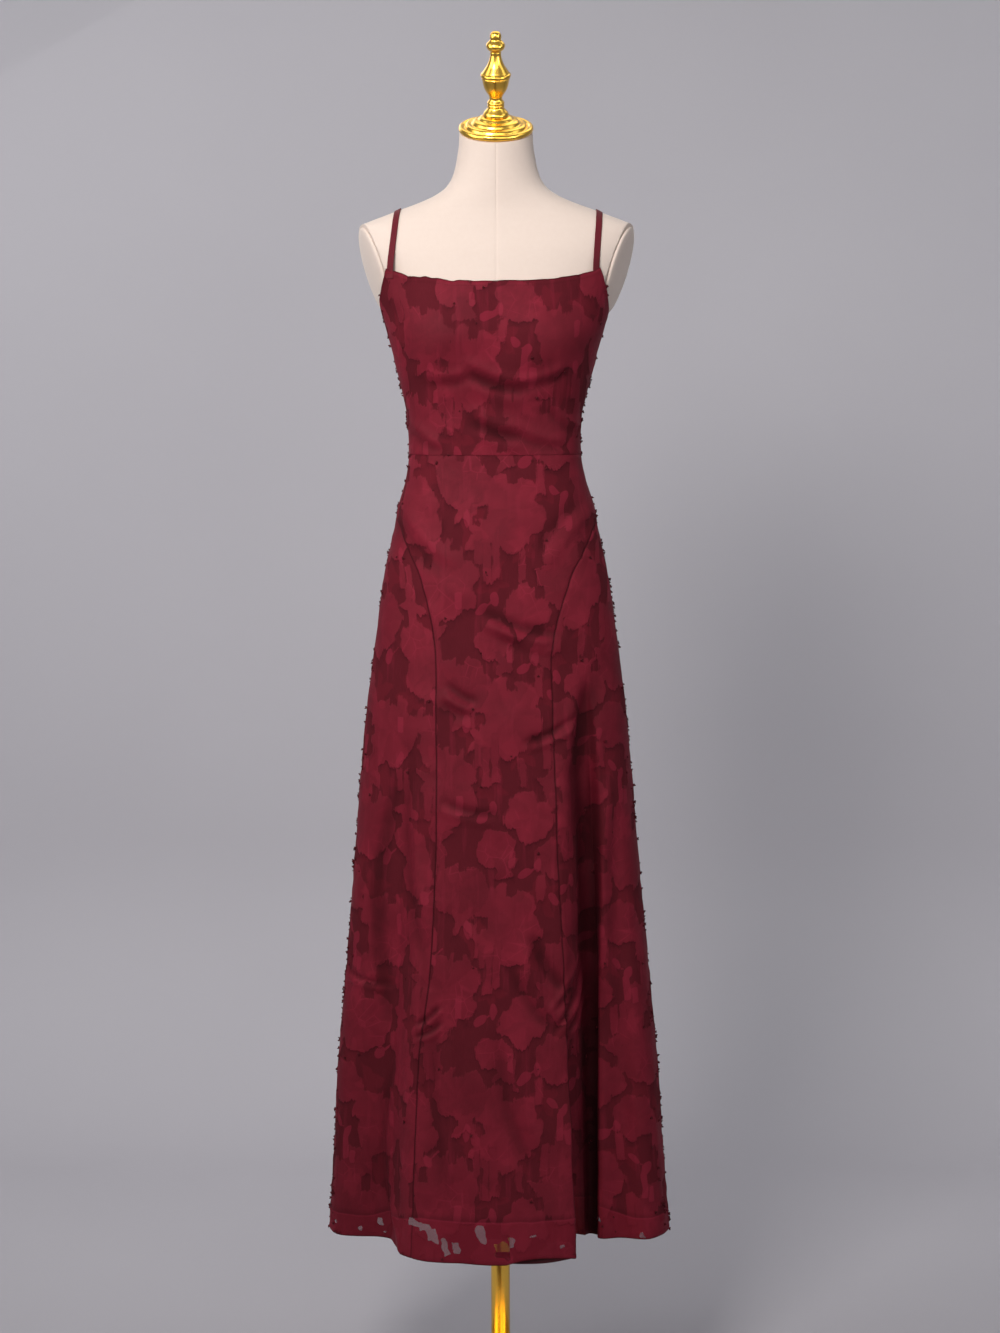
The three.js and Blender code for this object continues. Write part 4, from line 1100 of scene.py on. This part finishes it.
def ring_faces(rings, sides):
    """Quads between closed rings of points, each with the given number of sides."""
    faces = []
    for r in range(rings - 1):
        for k in range(sides):
            n = (k + 1) % sides
            faces.append((r * sides + k, r * sides + n, (r + 1) * sides + n, (r + 1) * sides + k))
    return faces


def turned_points(profile, smooth):
    """A turned part's outline, with extra points on a smooth curve between the given ones."""
    radius, height = np.array(profile, float).T
    along = np.concatenate([[0], np.cumsum(np.hypot(np.diff(radius), np.diff(height)))])
    rows = {"along": along, "radius": radius, "height": height}
    fine = np.unique(np.concatenate([np.linspace(a, b, smooth + 1) for a, b in zip(along[:-1], along[1:])]))
    return read(rows, "along", "radius", fine), read(rows, "along", "height", fine)


def turned_piece(name, profile, smooth, sides, matrix=Matrix.Identity(4)):
    """A part turned about the vertical, closed on its axis at both ends."""
    radius, height = turned_points(profile, smooth)
    angles = np.linspace(0, 2 * math.pi, sides, endpoint=False)
    points = [(r * math.cos(a), r * math.sin(a), h) for r, h in zip(radius, height) for a in angles]
    faces = ring_faces(len(radius), sides)
    low, high = len(points), len(points) + 1
    points += [(0, 0, height[0]), (0, 0, height[-1])]
    for k in range(sides):
        n = (k + 1) % sides
        faces.append((low, n, k))
        faces.append((high, low - sides + k, low - sides + n))
    return new_piece(name, [matrix @ Vector(p) * MM for p in points], faces, GOLD)


NECK_PLANE = Matrix.Translation((0, CAP_RIM_Y, CAP_RIM_Z)) @ Matrix.Rotation(NECK_TILT, 4, "X")

CAP_OUTLINE = [
    (46, 0), (48.4, 0.8), (49.6, 2.3), (50, 4), (49.7, 5.8), (48.6, 7.4), (46.8, 8.3), (45, 8.2),
    (43.6, 7.2), (42.8, 6.6), (41.8, 6.9), (41, 8.4), (40, 10), (38.6, 11), (36.8, 11.4), (35, 11.2),
    (33.4, 11), (32.2, 11.6), (31.4, 12.8), (30.4, 14.4), (29, 15.6), (27, 16.4), (25, 16.5),
    (23.6, 16.9), (22.4, 18.2), (20.8, 19.8), (18.8, 20.7), (17, 21), (8, 21),
]
FINIAL_OUTLINE = [
    (10, 0), (16.4, 0), (16.9, 1), (16.8, 3), (15.8, 5.2), (13.4, 7.8), (12, 9.5), (11, 11), (10.7, 12),
    (11.4, 13.2), (11.5, 14.4), (10.8, 15.6), (11.4, 16.9), (11.4, 18.2), (10.4, 19.8), (8.9, 22),
    (8.6, 24), (9.3, 27), (11, 30), (13.6, 34), (15.4, 38), (16.9, 43), (18.2, 49.5), (18.9, 51.2),
    (18.4, 52), (19.6, 53), (20.1, 55), (19.7, 56.8), (18.6, 57.6), (16.4, 60.8), (14.2, 64),
    (11.6, 68), (9.4, 73), (7.7, 79), (7.1, 83), (7.5, 85), (7.2, 86.5), (9.4, 88.4), (11.6, 91.2),
    (12.6, 94.5), (11.6, 97.4), (9.2, 100), (7.5, 101.8), (7.1, 103), (7.6, 105.6), (7.3, 108.6),
    (6, 111.3), (3.6, 113), (1.2, 113.5),
]
BASE_OUTLINE = [
    (120, 0), (161, 0), (163.5, 0.7), (164.7, 2.2), (165, 5), (164.7, 8), (163.4, 10.2), (161, 11.2),
    (150, 13), (130, 15.4), (108, 17.6), (97, 18.9), (94.5, 19.6), (93.2, 21), (92, 22.8), (89, 23.8),
    (76, 26), (60, 29), (46, 33), (36, 37.4), (29, 42.6), (25.4, 48), (23.6, 52.4), (22, 53.4),
    (21.2, 54.4), (21, 57), (21, 70), (20.6, 72.4), (19.4, 73.6), (17.6, 74), (8, 74),
]
FLANGE_OUTLINE = [(30, 0), (44, 0), (45.6, 0.7), (46, 2), (46, 4.4), (45.4, 5.6), (44, 6), (20, 6)]


def add_metal():
    """The cap, the finial, the pole, its flange and the round base."""
    shift = Matrix.Translation((0, 0, -CAP_HALF_THICKNESS))
    settle(turned_piece("neck_cap_gold", CAP_OUTLINE, 4, 96, NECK_PLANE @ shift), "gold_metal", "neck_cap")
    shift = Matrix.Translation((0, 0, CAP_TOP - CAP_HALF_THICKNESS + PART_GAP))
    settle(turned_piece("finial_gold", FINIAL_OUTLINE, 3, 72, NECK_PLANE @ shift), "gold_metal", "finial")
    settle(turned_piece("base_gold", BASE_OUTLINE, 3, 128), "gold_metal", "base")
    low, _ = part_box("pole_flange")
    flange = turned_piece("flange_gold", FLANGE_OUTLINE, 2, 96, Matrix.Translation((0, 0, low[2] / MM)))
    settle(flange, "gold_metal", "pole_flange")
    low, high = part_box("pole")
    bottom, top = low[2] / MM, high[2] / MM
    outline = [(6, bottom), (12.4, bottom), (13, bottom + 0.6), (13, mix(bottom, top, 0.5))]
    outline += [(13, top - 0.6), (12.4, top), (6, top)]
    settle(turned_piece("pole_gold", outline, 2, 64), "gold_metal", "pole")


def arm_plane(way):
    """The flat face of one arm: its own +Z points out of the form."""
    lean, turn = ARM_CUT["lean"], ARM_CUT["turn"]
    out = Vector((way * math.cos(lean) * math.cos(turn), -math.cos(lean) * math.sin(turn), -math.sin(lean)))
    up = (Vector((0, 0, 1)) - out * out.z).normalized()
    across = up.cross(out)
    matrix = Matrix((across, up, out)).transposed().to_4x4()
    return Matrix.Translation((way * ARM_CUT["x"], 0, ARM_CUT["z"])) @ matrix


def cut_flat(mesh, matrix, distance):
    """Cuts a closed mesh by a plane across the matrix's own Z and fills the cut."""
    normal = (matrix.to_3x3() @ Vector((0, 0, 1))).normalized()
    place = matrix @ Vector((0, 0, distance))
    parts = mesh.verts[:] + mesh.edges[:] + mesh.faces[:]
    plane = {"plane_co": place * MM, "plane_no": normal, "clear_outer": True}
    bmesh.ops.bisect_plane(mesh, geom=parts, dist=WELD, **plane)
    rim = [edge for edge in mesh.edges if edge.is_boundary]
    bmesh.ops.holes_fill(mesh, edges=rim, sides=0)


def add_form():
    """The torso, smooth and whole, with its flat neck and arms and a sewn seam down the middle."""
    near = np.array([0.0035, 0.007, 0.0105, 0.016])
    half = np.concatenate([[0], near, np.linspace(0.03, 0.97, 48), 1 - near[::-1]])
    front = np.concatenate([-half[::-1], half[1:]])
    heights = np.concatenate([np.linspace(1050, 1600, 120), np.linspace(1602, 1775, 90)])
    rings = []
    turns_of = {"front": np.concatenate([[-1], front]), "back": np.concatenate([[1], front[::-1]])}
    for side, turns in turns_of.items():
        turn, z = np.meshgrid(turns, heights)
        x, y = ring_point(TORSO_ROWS, side, turn, z)
        groove = 0.7 * hump(x, 1.3) + 0.5 * hump(np.abs(turn) - 1, 0.012)
        shrink = 1 - groove / np.maximum(np.hypot(x, y), 1)
        rings.append(np.stack([x * shrink, y * shrink, z], axis=-1))
    grid = np.concatenate(rings, axis=1)
    rows, around = grid.shape[:2]
    points = grid.reshape(-1, 3) * MM
    piece = new_piece("dress_form", points, ring_faces(rows, around), FORM_CLOTH)
    mesh = bmesh.new()
    mesh.from_mesh(piece.data)
    bmesh.ops.remove_doubles(mesh, verts=mesh.verts, dist=WELD)
    bmesh.ops.holes_fill(mesh, edges=[e for e in mesh.edges if e.is_boundary], sides=0)
    cut_flat(mesh, NECK_PLANE, -CAP_HALF_THICKNESS - PART_GAP)
    for way in (-1, 1):
        cut_flat(mesh, arm_plane(way), 0)
    bmesh.ops.recalc_face_normals(mesh, faces=mesh.faces)
    for face in mesh.faces:
        face.smooth = len(face.verts) < 8
    mesh.to_mesh(piece.data)
    mesh.free()
    settle(piece, "form_cloth", "torso")
    for name, way in (("arm_plate_left", -1), ("arm_plate_right", 1)):
        add_arm_plate(name, way)


def add_arm_plate(name, way):
    """An oval pad with a low dome and a rounded rim, covered in the same cloth."""
    rim = [(0.6, 0.3), (0.965, 0.3), (0.99, 0.5), (1.0, 1.1), (0.995, 2.0)]
    rise = ARM_PLATE["thickness"] - ARM_PLATE["edge"]
    start = PART_GAP + ARM_PLATE["edge"]
    dome = [(math.cos(a), start + rise * math.sin(a)) for a in np.linspace(0.12, 1.5, 16)]
    outline = rim + dome
    sides = 96
    matrix = arm_plane(way)
    points = [matrix @ Vector((0, 0, outline[0][1]))]
    for r, h in outline:
        for k in range(sides):
            angle = 2 * math.pi * k / sides
            wide, tall = r * ARM_PLATE["wide"], r * ARM_PLATE["tall"]
            points.append(matrix @ Vector((wide * math.cos(angle), tall * math.sin(angle), h)))
    points.append(matrix @ Vector((0, 0, PART_GAP + ARM_PLATE["thickness"])))
    faces = []
    for k in range(sides):
        n = (k + 1) % sides
        faces.append((0, 1 + n, 1 + k))
        for r in range(len(outline) - 1):
            a, b = 1 + r * sides, 1 + (r + 1) * sides
            faces.append((a + k, a + n, b + n, b + k))
        last = 1 + (len(outline) - 1) * sides
        faces.append((last + k, last + n, len(points) - 1))
    piece = new_piece(name + "_pad", [p * MM for p in points], faces, FORM_CLOTH)
    settle(piece, "form_cloth", name)


# The straps' sheets are narrower than their solids, and both ends are tucked inside the bodice, in metres
STRAP_NARROWING = 0.76
FRONT_TUCK = (0.012, 0.0015)
BACK_TUCK = (0.009, -0.0014)


def add_straps():
    """Flat doubled straps with rounded edges, on the form of their solids."""
    for name in ("strap_left", "strap_right"):
        mesh = bmesh.new()
        mesh.from_mesh(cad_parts[name].data)
        bmesh.ops.remove_doubles(mesh, verts=mesh.verts, dist=WELD)
        places = np.array([v.co for v in mesh.verts])
        for vertex, place in zip(mesh.verts, places):
            beside = np.hypot(*(places[:, 1:] - place[1:]).T) < 0.008
            middle = places[beside, 0].mean()
            vertex.co.x = middle + (place[0] - middle) * STRAP_NARROWING
            lowest = (CORNER_Z + 1 if place[1] < 0 else UNDERARM_Z - 4) * MM
            if place[2] < lowest:
                down, inward = FRONT_TUCK if place[1] < 0 else BACK_TUCK
                vertex.co.z -= down
                vertex.co.y += inward
        flat_enough = {"angle_face_threshold": 0.6, "angle_shape_threshold": 1.2}
        bmesh.ops.join_triangles(mesh, faces=mesh.faces, **flat_enough)
        bmesh.ops.recalc_face_normals(mesh, faces=mesh.faces)
        data = bpy.data.meshes.new(name + "_cloth")
        mesh.to_mesh(data)
        mesh.free()
        data.materials.append(STRAP_CLOTH)
        data.polygons.foreach_set("use_smooth", [True] * len(data.polygons))
        piece = link(bpy.data.objects.new(name + "_cloth", data))
        bevel = piece.modifiers.new("edges", "BEVEL")
        bevel.width = 0.0004
        bevel.segments = 2
        bevel.limit_method = "ANGLE"
        bevel.angle_limit = math.radians(50)
        smooth = piece.modifiers.new("smooth", "SUBSURF")
        smooth.levels = smooth.render_levels = 1
        settle(piece, "dress_cloth", name)


def thread_finish():
    """Dark twisted thread."""
    make = Finish("dark_thread")
    place = make.object_place()
    twist = make.noise(place, 1800, 1, 0.5)
    base = make.colour(twist, rgb(0.050, 0.0045, 0.0080), rgb(0.110, 0.0085, 0.0150))
    return make.finish({"Base Color": base, "Roughness": 0.7 + twist * 0.1, "Specular IOR Level": 0.1})


class Scatter:
    """A Geometry Nodes tree under construction, with named inputs and one method for every node."""

    def __init__(self, name, inputs):
        self.tree = bpy.data.node_groups.new(name, "GeometryNodeTree")
        self.tree.interface.new_socket("Geometry", in_out="INPUT", socket_type="NodeSocketGeometry")
        for title, (kind, _) in inputs.items():
            self.tree.interface.new_socket(title, in_out="INPUT", socket_type=kind)
        self.tree.interface.new_socket("Geometry", in_out="OUTPUT", socket_type="NodeSocketGeometry")
        self.inputs = inputs
        self.given = self.tree.nodes.new("NodeGroupInput").outputs

    def node(self, kind, settings=None, values=None):
        node = self.tree.nodes.new(kind)
        for name, setting in (settings or {}).items():
            setattr(node, name, setting)
        for name, part in (values or {}).items():
            if isinstance(part, bpy.types.NodeSocket):
                self.tree.links.new(part, node.inputs[name])
            else:
                node.inputs[name].default_value = part
        return node.outputs

    def attribute(self, name):
        return self.node("GeometryNodeInputNamedAttribute", {"data_type": "FLOAT"}, {"Name": name})[0]

    def maths(self, operation, *parts):
        return self.node("ShaderNodeMath", {"operation": operation}, dict(enumerate(parts)))[0]

    def copies(self, source, spots, more):
        """One copy of an object on each spot, turned with it."""
        shape = self.node("GeometryNodeObjectInfo", None, {"Object": source})["Geometry"]
        places = {"Points": spots["Points"], "Instance": shape, "Rotation": spots["Rotation"]}
        return self.node("GeometryNodeInstanceOnPoints", None, {**places, **more})[0]

    def plain_piece(self, carrier, name, copies, finish):
        """Realizes the copies on their carrier as a plain mesh object, and clears the carrier away."""
        whole = self.node("GeometryNodeRealizeInstances", None, {"Geometry": copies})[0]
        dressed = self.node("GeometryNodeSetMaterial", None, {"Geometry": whole, "Material": finish})[0]
        self.node("NodeGroupOutput", None, {0: dressed})
        items = self.tree.interface.items_tree
        places = {item.name: item.identifier for item in items if item.in_out == "INPUT"}
        modifier = carrier.modifiers.new(name, "NODES")
        modifier.node_group = self.tree
        for title, (_, value) in self.inputs.items():
            modifier[places[title]] = value
        ready = carrier.evaluated_get(bpy.context.evaluated_depsgraph_get())
        mesh = bpy.data.meshes.new_from_object(ready)
        mesh.name = name
        carrier.modifiers.remove(modifier)
        bpy.data.objects.remove(carrier)
        mesh.materials.clear()
        mesh.materials.append(finish)
        return link(bpy.data.objects.new(name, mesh))


def thread_mesh(path, thickness):
    """A thin three-sided thread along a path of points, closed to a point at both ends."""
    points, faces = [path[0]], []
    for x, y, z in path[1:-1]:
        for k in range(3):
            angle = k * 2 * math.pi / 3
            points.append((x + thickness * math.cos(angle), y + thickness * math.sin(angle), z))
    points.append(path[-1])
    rings = len(path) - 2
    for k in range(3):
        n = (k + 1) % 3
        faces.append((0, 1 + n, 1 + k))
        for r in range(rings - 1):
            faces.append((1 + 3 * r + k, 1 + 3 * r + n, 4 + 3 * r + n, 4 + 3 * r + k))
        faces.append((len(points) - 1, 3 * rings - 2 + k, 3 * rings - 2 + n))
    return points, faces


def add_thread_ends():
    """Short cut thread ends that stand off the cloth along the edges of the satin motifs."""
    points = np.concatenate([sheet[0] for sheet in SHEETS])
    starts = np.cumsum([0] + [len(sheet[0]) for sheet in SHEETS])
    faces = [tuple(i + start for i in face) for start, sheet in zip(starts, SHEETS) for face in sheet[1]]
    cloth = new_piece("thread_ground", points, faces, THREAD)
    add_attribute(cloth, "satin", np.concatenate([sheet[2].ravel() for sheet in SHEETS]) * MM)
    add_attribute(cloth, "beside", np.concatenate([sheet[3].ravel() for sheet in SHEETS]))
    ends, end_faces = [], []
    for lean_x, lean_y, tall in ((1.3, 0.3, 2.2), (-0.9, 1.0, 1.6), (-0.2, -1.3, 1.9)):
        path = [(0, 0, -0.4), (0.1 * lean_x, 0.1 * lean_y, 0.3), (0.5 * lean_x, 0.5 * lean_y, 0.6 * tall)]
        path.append((1.2 * lean_x, 1.2 * lean_y, tall))
        more, more_faces = thread_mesh([Vector(q) * MM for q in path], 1.25 * MM)
        end_faces += [tuple(i + len(ends) for i in face) for face in more_faces]
        ends += more
    tuft = new_piece("thread_end", ends, end_faces, THREAD)
    inputs = {
        "Per Square Metre": ("NodeSocketFloat", 350.0),
        "More At The Rims": ("NodeSocketFloat", 13000.0),
        "Edge Reach": ("NodeSocketFloat", 0.005),
        "Least Size": ("NodeSocketFloat", 0.6),
        "Most Size": ("NodeSocketFloat", 1.5),
        "Seed": ("NodeSocketInt", 17),
        "Thread End": ("NodeSocketObject", tuft),
    }
    make = Scatter("thread_ends_on_cloth", inputs)
    given = make.given
    near = make.maths("ABSOLUTE", make.attribute("satin"))
    chosen = make.maths("LESS_THAN", near, given["Edge Reach"])
    rims = given["More At The Rims"]
    number = make.maths("MULTIPLY_ADD", make.attribute("beside"), rims, given["Per Square Metre"])
    density = make.maths("MULTIPLY", chosen, number)
    ground = {"Mesh": given["Geometry"], "Density": density, "Seed": given["Seed"]}
    spots = make.node("GeometryNodeDistributePointsOnFaces", None, ground)
    sizes = {2: given["Least Size"], 3: given["Most Size"], "Seed": given["Seed"]}
    size = make.node("FunctionNodeRandomValue", {"data_type": "FLOAT"}, sizes)[1]
    copies = make.copies(given["Thread End"], spots, {"Scale": size})
    leans = {0: (-0.6, -0.6, 0.0), 1: (0.6, 0.6, 6.28), "Seed": given["Seed"]}
    lean = make.node("FunctionNodeRandomValue", {"data_type": "FLOAT_VECTOR"}, leans)[0]
    turned = make.node("GeometryNodeRotateInstances", None, {"Instances": copies, "Rotation": lean})[0]
    piece = make.plain_piece(cloth, "thread_ends", turned, THREAD)
    bpy.data.objects.remove(tuft)
    settle(piece, "dress_cloth")


def add_stitches():
    """Small slanting stitches along the hem and the turned edges of the bodice."""
    curve = bpy.data.curves.new("stitch_lines", "CURVE")
    curve.dimensions = "3D"
    for line in STITCH_LINES:
        spline = curve.splines.new("POLY")
        spline.points.add(len(line) - 1)
        spline.points.foreach_set("co", np.concatenate([line, np.ones((len(line), 1))], axis=1).ravel())
    lines = link(bpy.data.objects.new("stitch_lines", curve))
    path = [(0, 0, height) for height in (-1.1, -0.8, 0, 0.8, 1.1)]
    points, faces = thread_mesh([Vector(q) * MM for q in path], 0.16 * MM)
    stitch = new_piece("stitch", points, faces, THREAD)
    inputs = {
        "Spacing": ("NodeSocketFloat", 0.0031),
        "Stitch": ("NodeSocketObject", stitch),
    }
    make = Scatter("stitches_along_lines", inputs)
    line = {"Curve": make.given["Geometry"], "Length": make.given["Spacing"]}
    spots = make.node("GeometryNodeCurveToPoints", {"mode": "LENGTH"}, line)
    copies = make.copies(make.given["Stitch"], spots, {})
    piece = make.plain_piece(lines, "edge_stitches", copies, THREAD)
    bpy.data.objects.remove(stitch)
    settle(piece, "dress_cloth")


# The turned-up hem allowance: where it shows along the front hem, and its heights over the hem
TURNING_START = 0.52
TURNING_END = 0.985
TURNING_LOW = 4
TURNING_HIGH = 16
TURNING_INSET = 3.2
TURNING_THICKNESS = 0.5


def add_hem_turning():
    """The dark lip of the turned-up hem under the right half of the front, in the lining's dark finish as
    painted shade under the lifted hem edge.
    """
    shares = np.linspace(TURNING_START, TURNING_END, 60)
    rows = np.linspace(0, 1, 7)
    start, end = (edge(np.array([HEM_Z]))[0] for edge in CENTRE_EDGES)
    turn = np.broadcast_to((start + (end - start) * shares)[None, :], (len(rows), len(shares)))
    middle = np.sin((shares - 0.5) / 0.5 * math.pi) ** 0.8
    low = HEM_Z + TURNING_LOW - HEM_LIFT * middle
    z = mix(low[None, :], HEM_Z + TURNING_HIGH, rows[:, None])
    surface = dress_surface("front", turn, np.maximum(z, HEM_Z))
    x, y = surface[:2]
    inset = TURNING_INSET + 2.0 * np.sin(rows * math.pi)[:, None] + 0.4 * soft_noise(x, z, 12, 88)
    points = pushed_points(surface, z, -inset)
    piece = new_piece("hem_turning", points, grid_faces(*x.shape), LINING)
    add_flat_map(piece, along_rows(x, y), z)
    give_thickness(piece, TURNING_THICKNESS)
    settle(piece, "dress_cloth")


def strap_finish():
    """The dress's satin, doubled and turned: plain, with a fine lengthwise grain."""
    make = Finish("strap_satin")
    place = make.object_place()
    cloudy = make.noise(place, 60, 3, 0.5)
    grain = make.noise(make.stretched(place, (2400, 2400, 300)), 1, 2, 0.6)
    base = make.colour(cloudy, rgb(0.075, 0.0055, 0.0105), rgb(0.150, 0.0100, 0.0200))
    base = make.colour(grain * 0.25, base, rgb(0.20, 0.014, 0.028))
    return make.finish(
        {
            "Base Color": base,
            "Roughness": 0.6 + grain * 0.15,
            "Normal": make.bump(grain, 0.0003, 0.5),
            "Specular IOR Level": 0.12,
            "Sheen Weight": 0.03,
        }
    )


STRAP_CLOTH = strap_finish()
THREAD = thread_finish()


# The paper in metres: how near it starts, how wide it is, and where and how high the wall stands
PAPER_NEAR = -9.0
PAPER_HALF_WIDTH = 8.0
WALL_DEPTH = 1.5
WALL_HEIGHT = 3.6
WALL_BEND = 0.5
FLAG_CORNERS = [(-0.42, -1.1, 0.014), (0.05, -1.1, 0.014), (0.05, -0.2, 0.014), (-0.42, -0.2, 0.014)]
LIGHTS = [
    # name, place, target, size in metres, power in watts, tint
    ("key", (-0.8, -2.05, 2.45), (0, 0, 1.5), 0.85, 18.9, (1.0, 0.97, 0.94)),
    ("fill", (1.3, -3.5, 1.3), (0, 0, 1.0), 1.6, 5, (0.96, 0.97, 1.0)),
    ("wall_left", (-1.9, -0.4, 2.6), (-0.8, 1.5, 1.0), 1.2, 8, (0.97, 0.98, 1.0)),
    ("wall_right", (1.9, -0.4, 2.6), (0.8, 1.5, 1.0), 1.2, 5, (0.97, 0.98, 1.0)),
    ("back", (-0.7, 1.35, 2.3), (0, 0, 1.0), 1.0, 4, (1.0, 0.98, 0.96)),
    ("glint_left", (-2.2, -1.2, 1.9), (0, 0, 1.7), 1.8, 27, (1.0, 0.93, 0.78)),
    ("glint_right", (1.9, -1.6, 1.7), (0, 0, 1.6), 0.9, 14, (1.0, 0.93, 0.8)),
    ("glint_above", (0.2, 1.3, 3.4), (0, 0, 1.8), 3.0, 36, (1.0, 0.92, 0.76)),
    ("glint_front", (0.9, -4.4, 2.6), (0, 0, 1.7), 2.4, 30, (1.0, 0.92, 0.78)),
    ("glint_low", (-0.32, -0.16, 0.16), (0, 0, 0.16), 0.3, 0.08, (1.0, 0.95, 0.86)),
    ("glint_low_right", (0.3, -0.5, 0.16), (0, 0, 0.16), 0.24, 0.12, (1.0, 0.95, 0.86)),
]
NARROW_SPREAD = math.radians(110)
WIDE_SPREAD = math.radians(150)
WORLD_TINT = (0.82, 0.83, 0.86, 1)
WORLD_STRENGTH = 0.3


def add_light(name, place, target, size, power, tint):
    """A square lamp aimed at a target; a glint shows only in what reflects."""
    lamp = bpy.data.lights.new(name, "AREA")
    lamp.shape = "SQUARE"
    lamp.size = size
    lamp.energy = power
    lamp.color = tint
    lamp.spread = NARROW_SPREAD if name.startswith(("key", "wall")) else WIDE_SPREAD
    holder = link(bpy.data.objects.new(name, lamp))
    holder.location = place
    holder.visible_camera = False
    holder.visible_diffuse = not name.startswith("glint")
    holder.rotation_euler = (Vector(target) - Vector(place)).to_track_quat("-Z", "Y").to_euler()


def add_studio():
    """A plain pale floor that curves up into the wall behind, and soft light from the upper left."""
    start = WALL_DEPTH - WALL_BEND
    profile = [(PAPER_NEAR, 0.0), (start, 0.0)]
    for k in range(1, 13):
        angle = k / 12 * math.pi / 2
        profile.append((start + WALL_BEND * math.sin(angle), WALL_BEND - WALL_BEND * math.cos(angle)))
    profile.append((WALL_DEPTH, WALL_HEIGHT))
    points = [(x, y, z) for y, z in profile for x in (-PAPER_HALF_WIDTH, PAPER_HALF_WIDTH)]
    faces = [(2 * k, 2 * k + 1, 2 * k + 3, 2 * k + 2) for k in range(len(profile) - 1)]
    paper = new_piece("studio_paper", points, faces, studio_finish())
    flag = new_piece("dark_flag", FLAG_CORNERS, [(0, 1, 2, 3)], LINING)
    flag.visible_camera = flag.visible_diffuse = flag.visible_shadow = False
    for light in LIGHTS:
        add_light(*light)
    world = bpy.data.worlds.new("studio")
    world.use_nodes = True
    world.node_tree.nodes["Background"].inputs[0].default_value = WORLD_TINT
    world.node_tree.nodes["Background"].inputs[1].default_value = WORLD_STRENGTH
    bpy.context.scene.world = world
    bpy.context.scene.view_settings.view_transform = "Standard"


# The camera: a little above the waist, tipped slightly down, with the frame lowered by a small shift
CAMERA_PLACE = (0.0032, -3.29, 1.4)
CAMERA_PITCH = math.radians(4)
CAMERA_ROLL = math.radians(-0.22)
CAMERA_LENS = 66
CAMERA_SHIFT = -0.083


def add_camera():
    data = bpy.data.cameras.new("camera")
    data.lens = CAMERA_LENS
    data.sensor_width = 36
    data.shift_y = CAMERA_SHIFT
    camera = link(bpy.data.objects.new("camera", data))
    camera.location = CAMERA_PLACE
    tilt = Euler((math.pi / 2 - CAMERA_PITCH, 0, 0)).to_matrix()
    camera.rotation_euler = (tilt @ Matrix.Rotation(CAMERA_ROLL, 3, "Z")).to_euler()
    bpy.context.scene.camera = camera


add_camera()
add_studio()
add_form()
add_metal()
add_bodice()
add_skirt()
add_lining()
add_straps()
add_hem_turning()
add_thread_ends()
add_stitches()
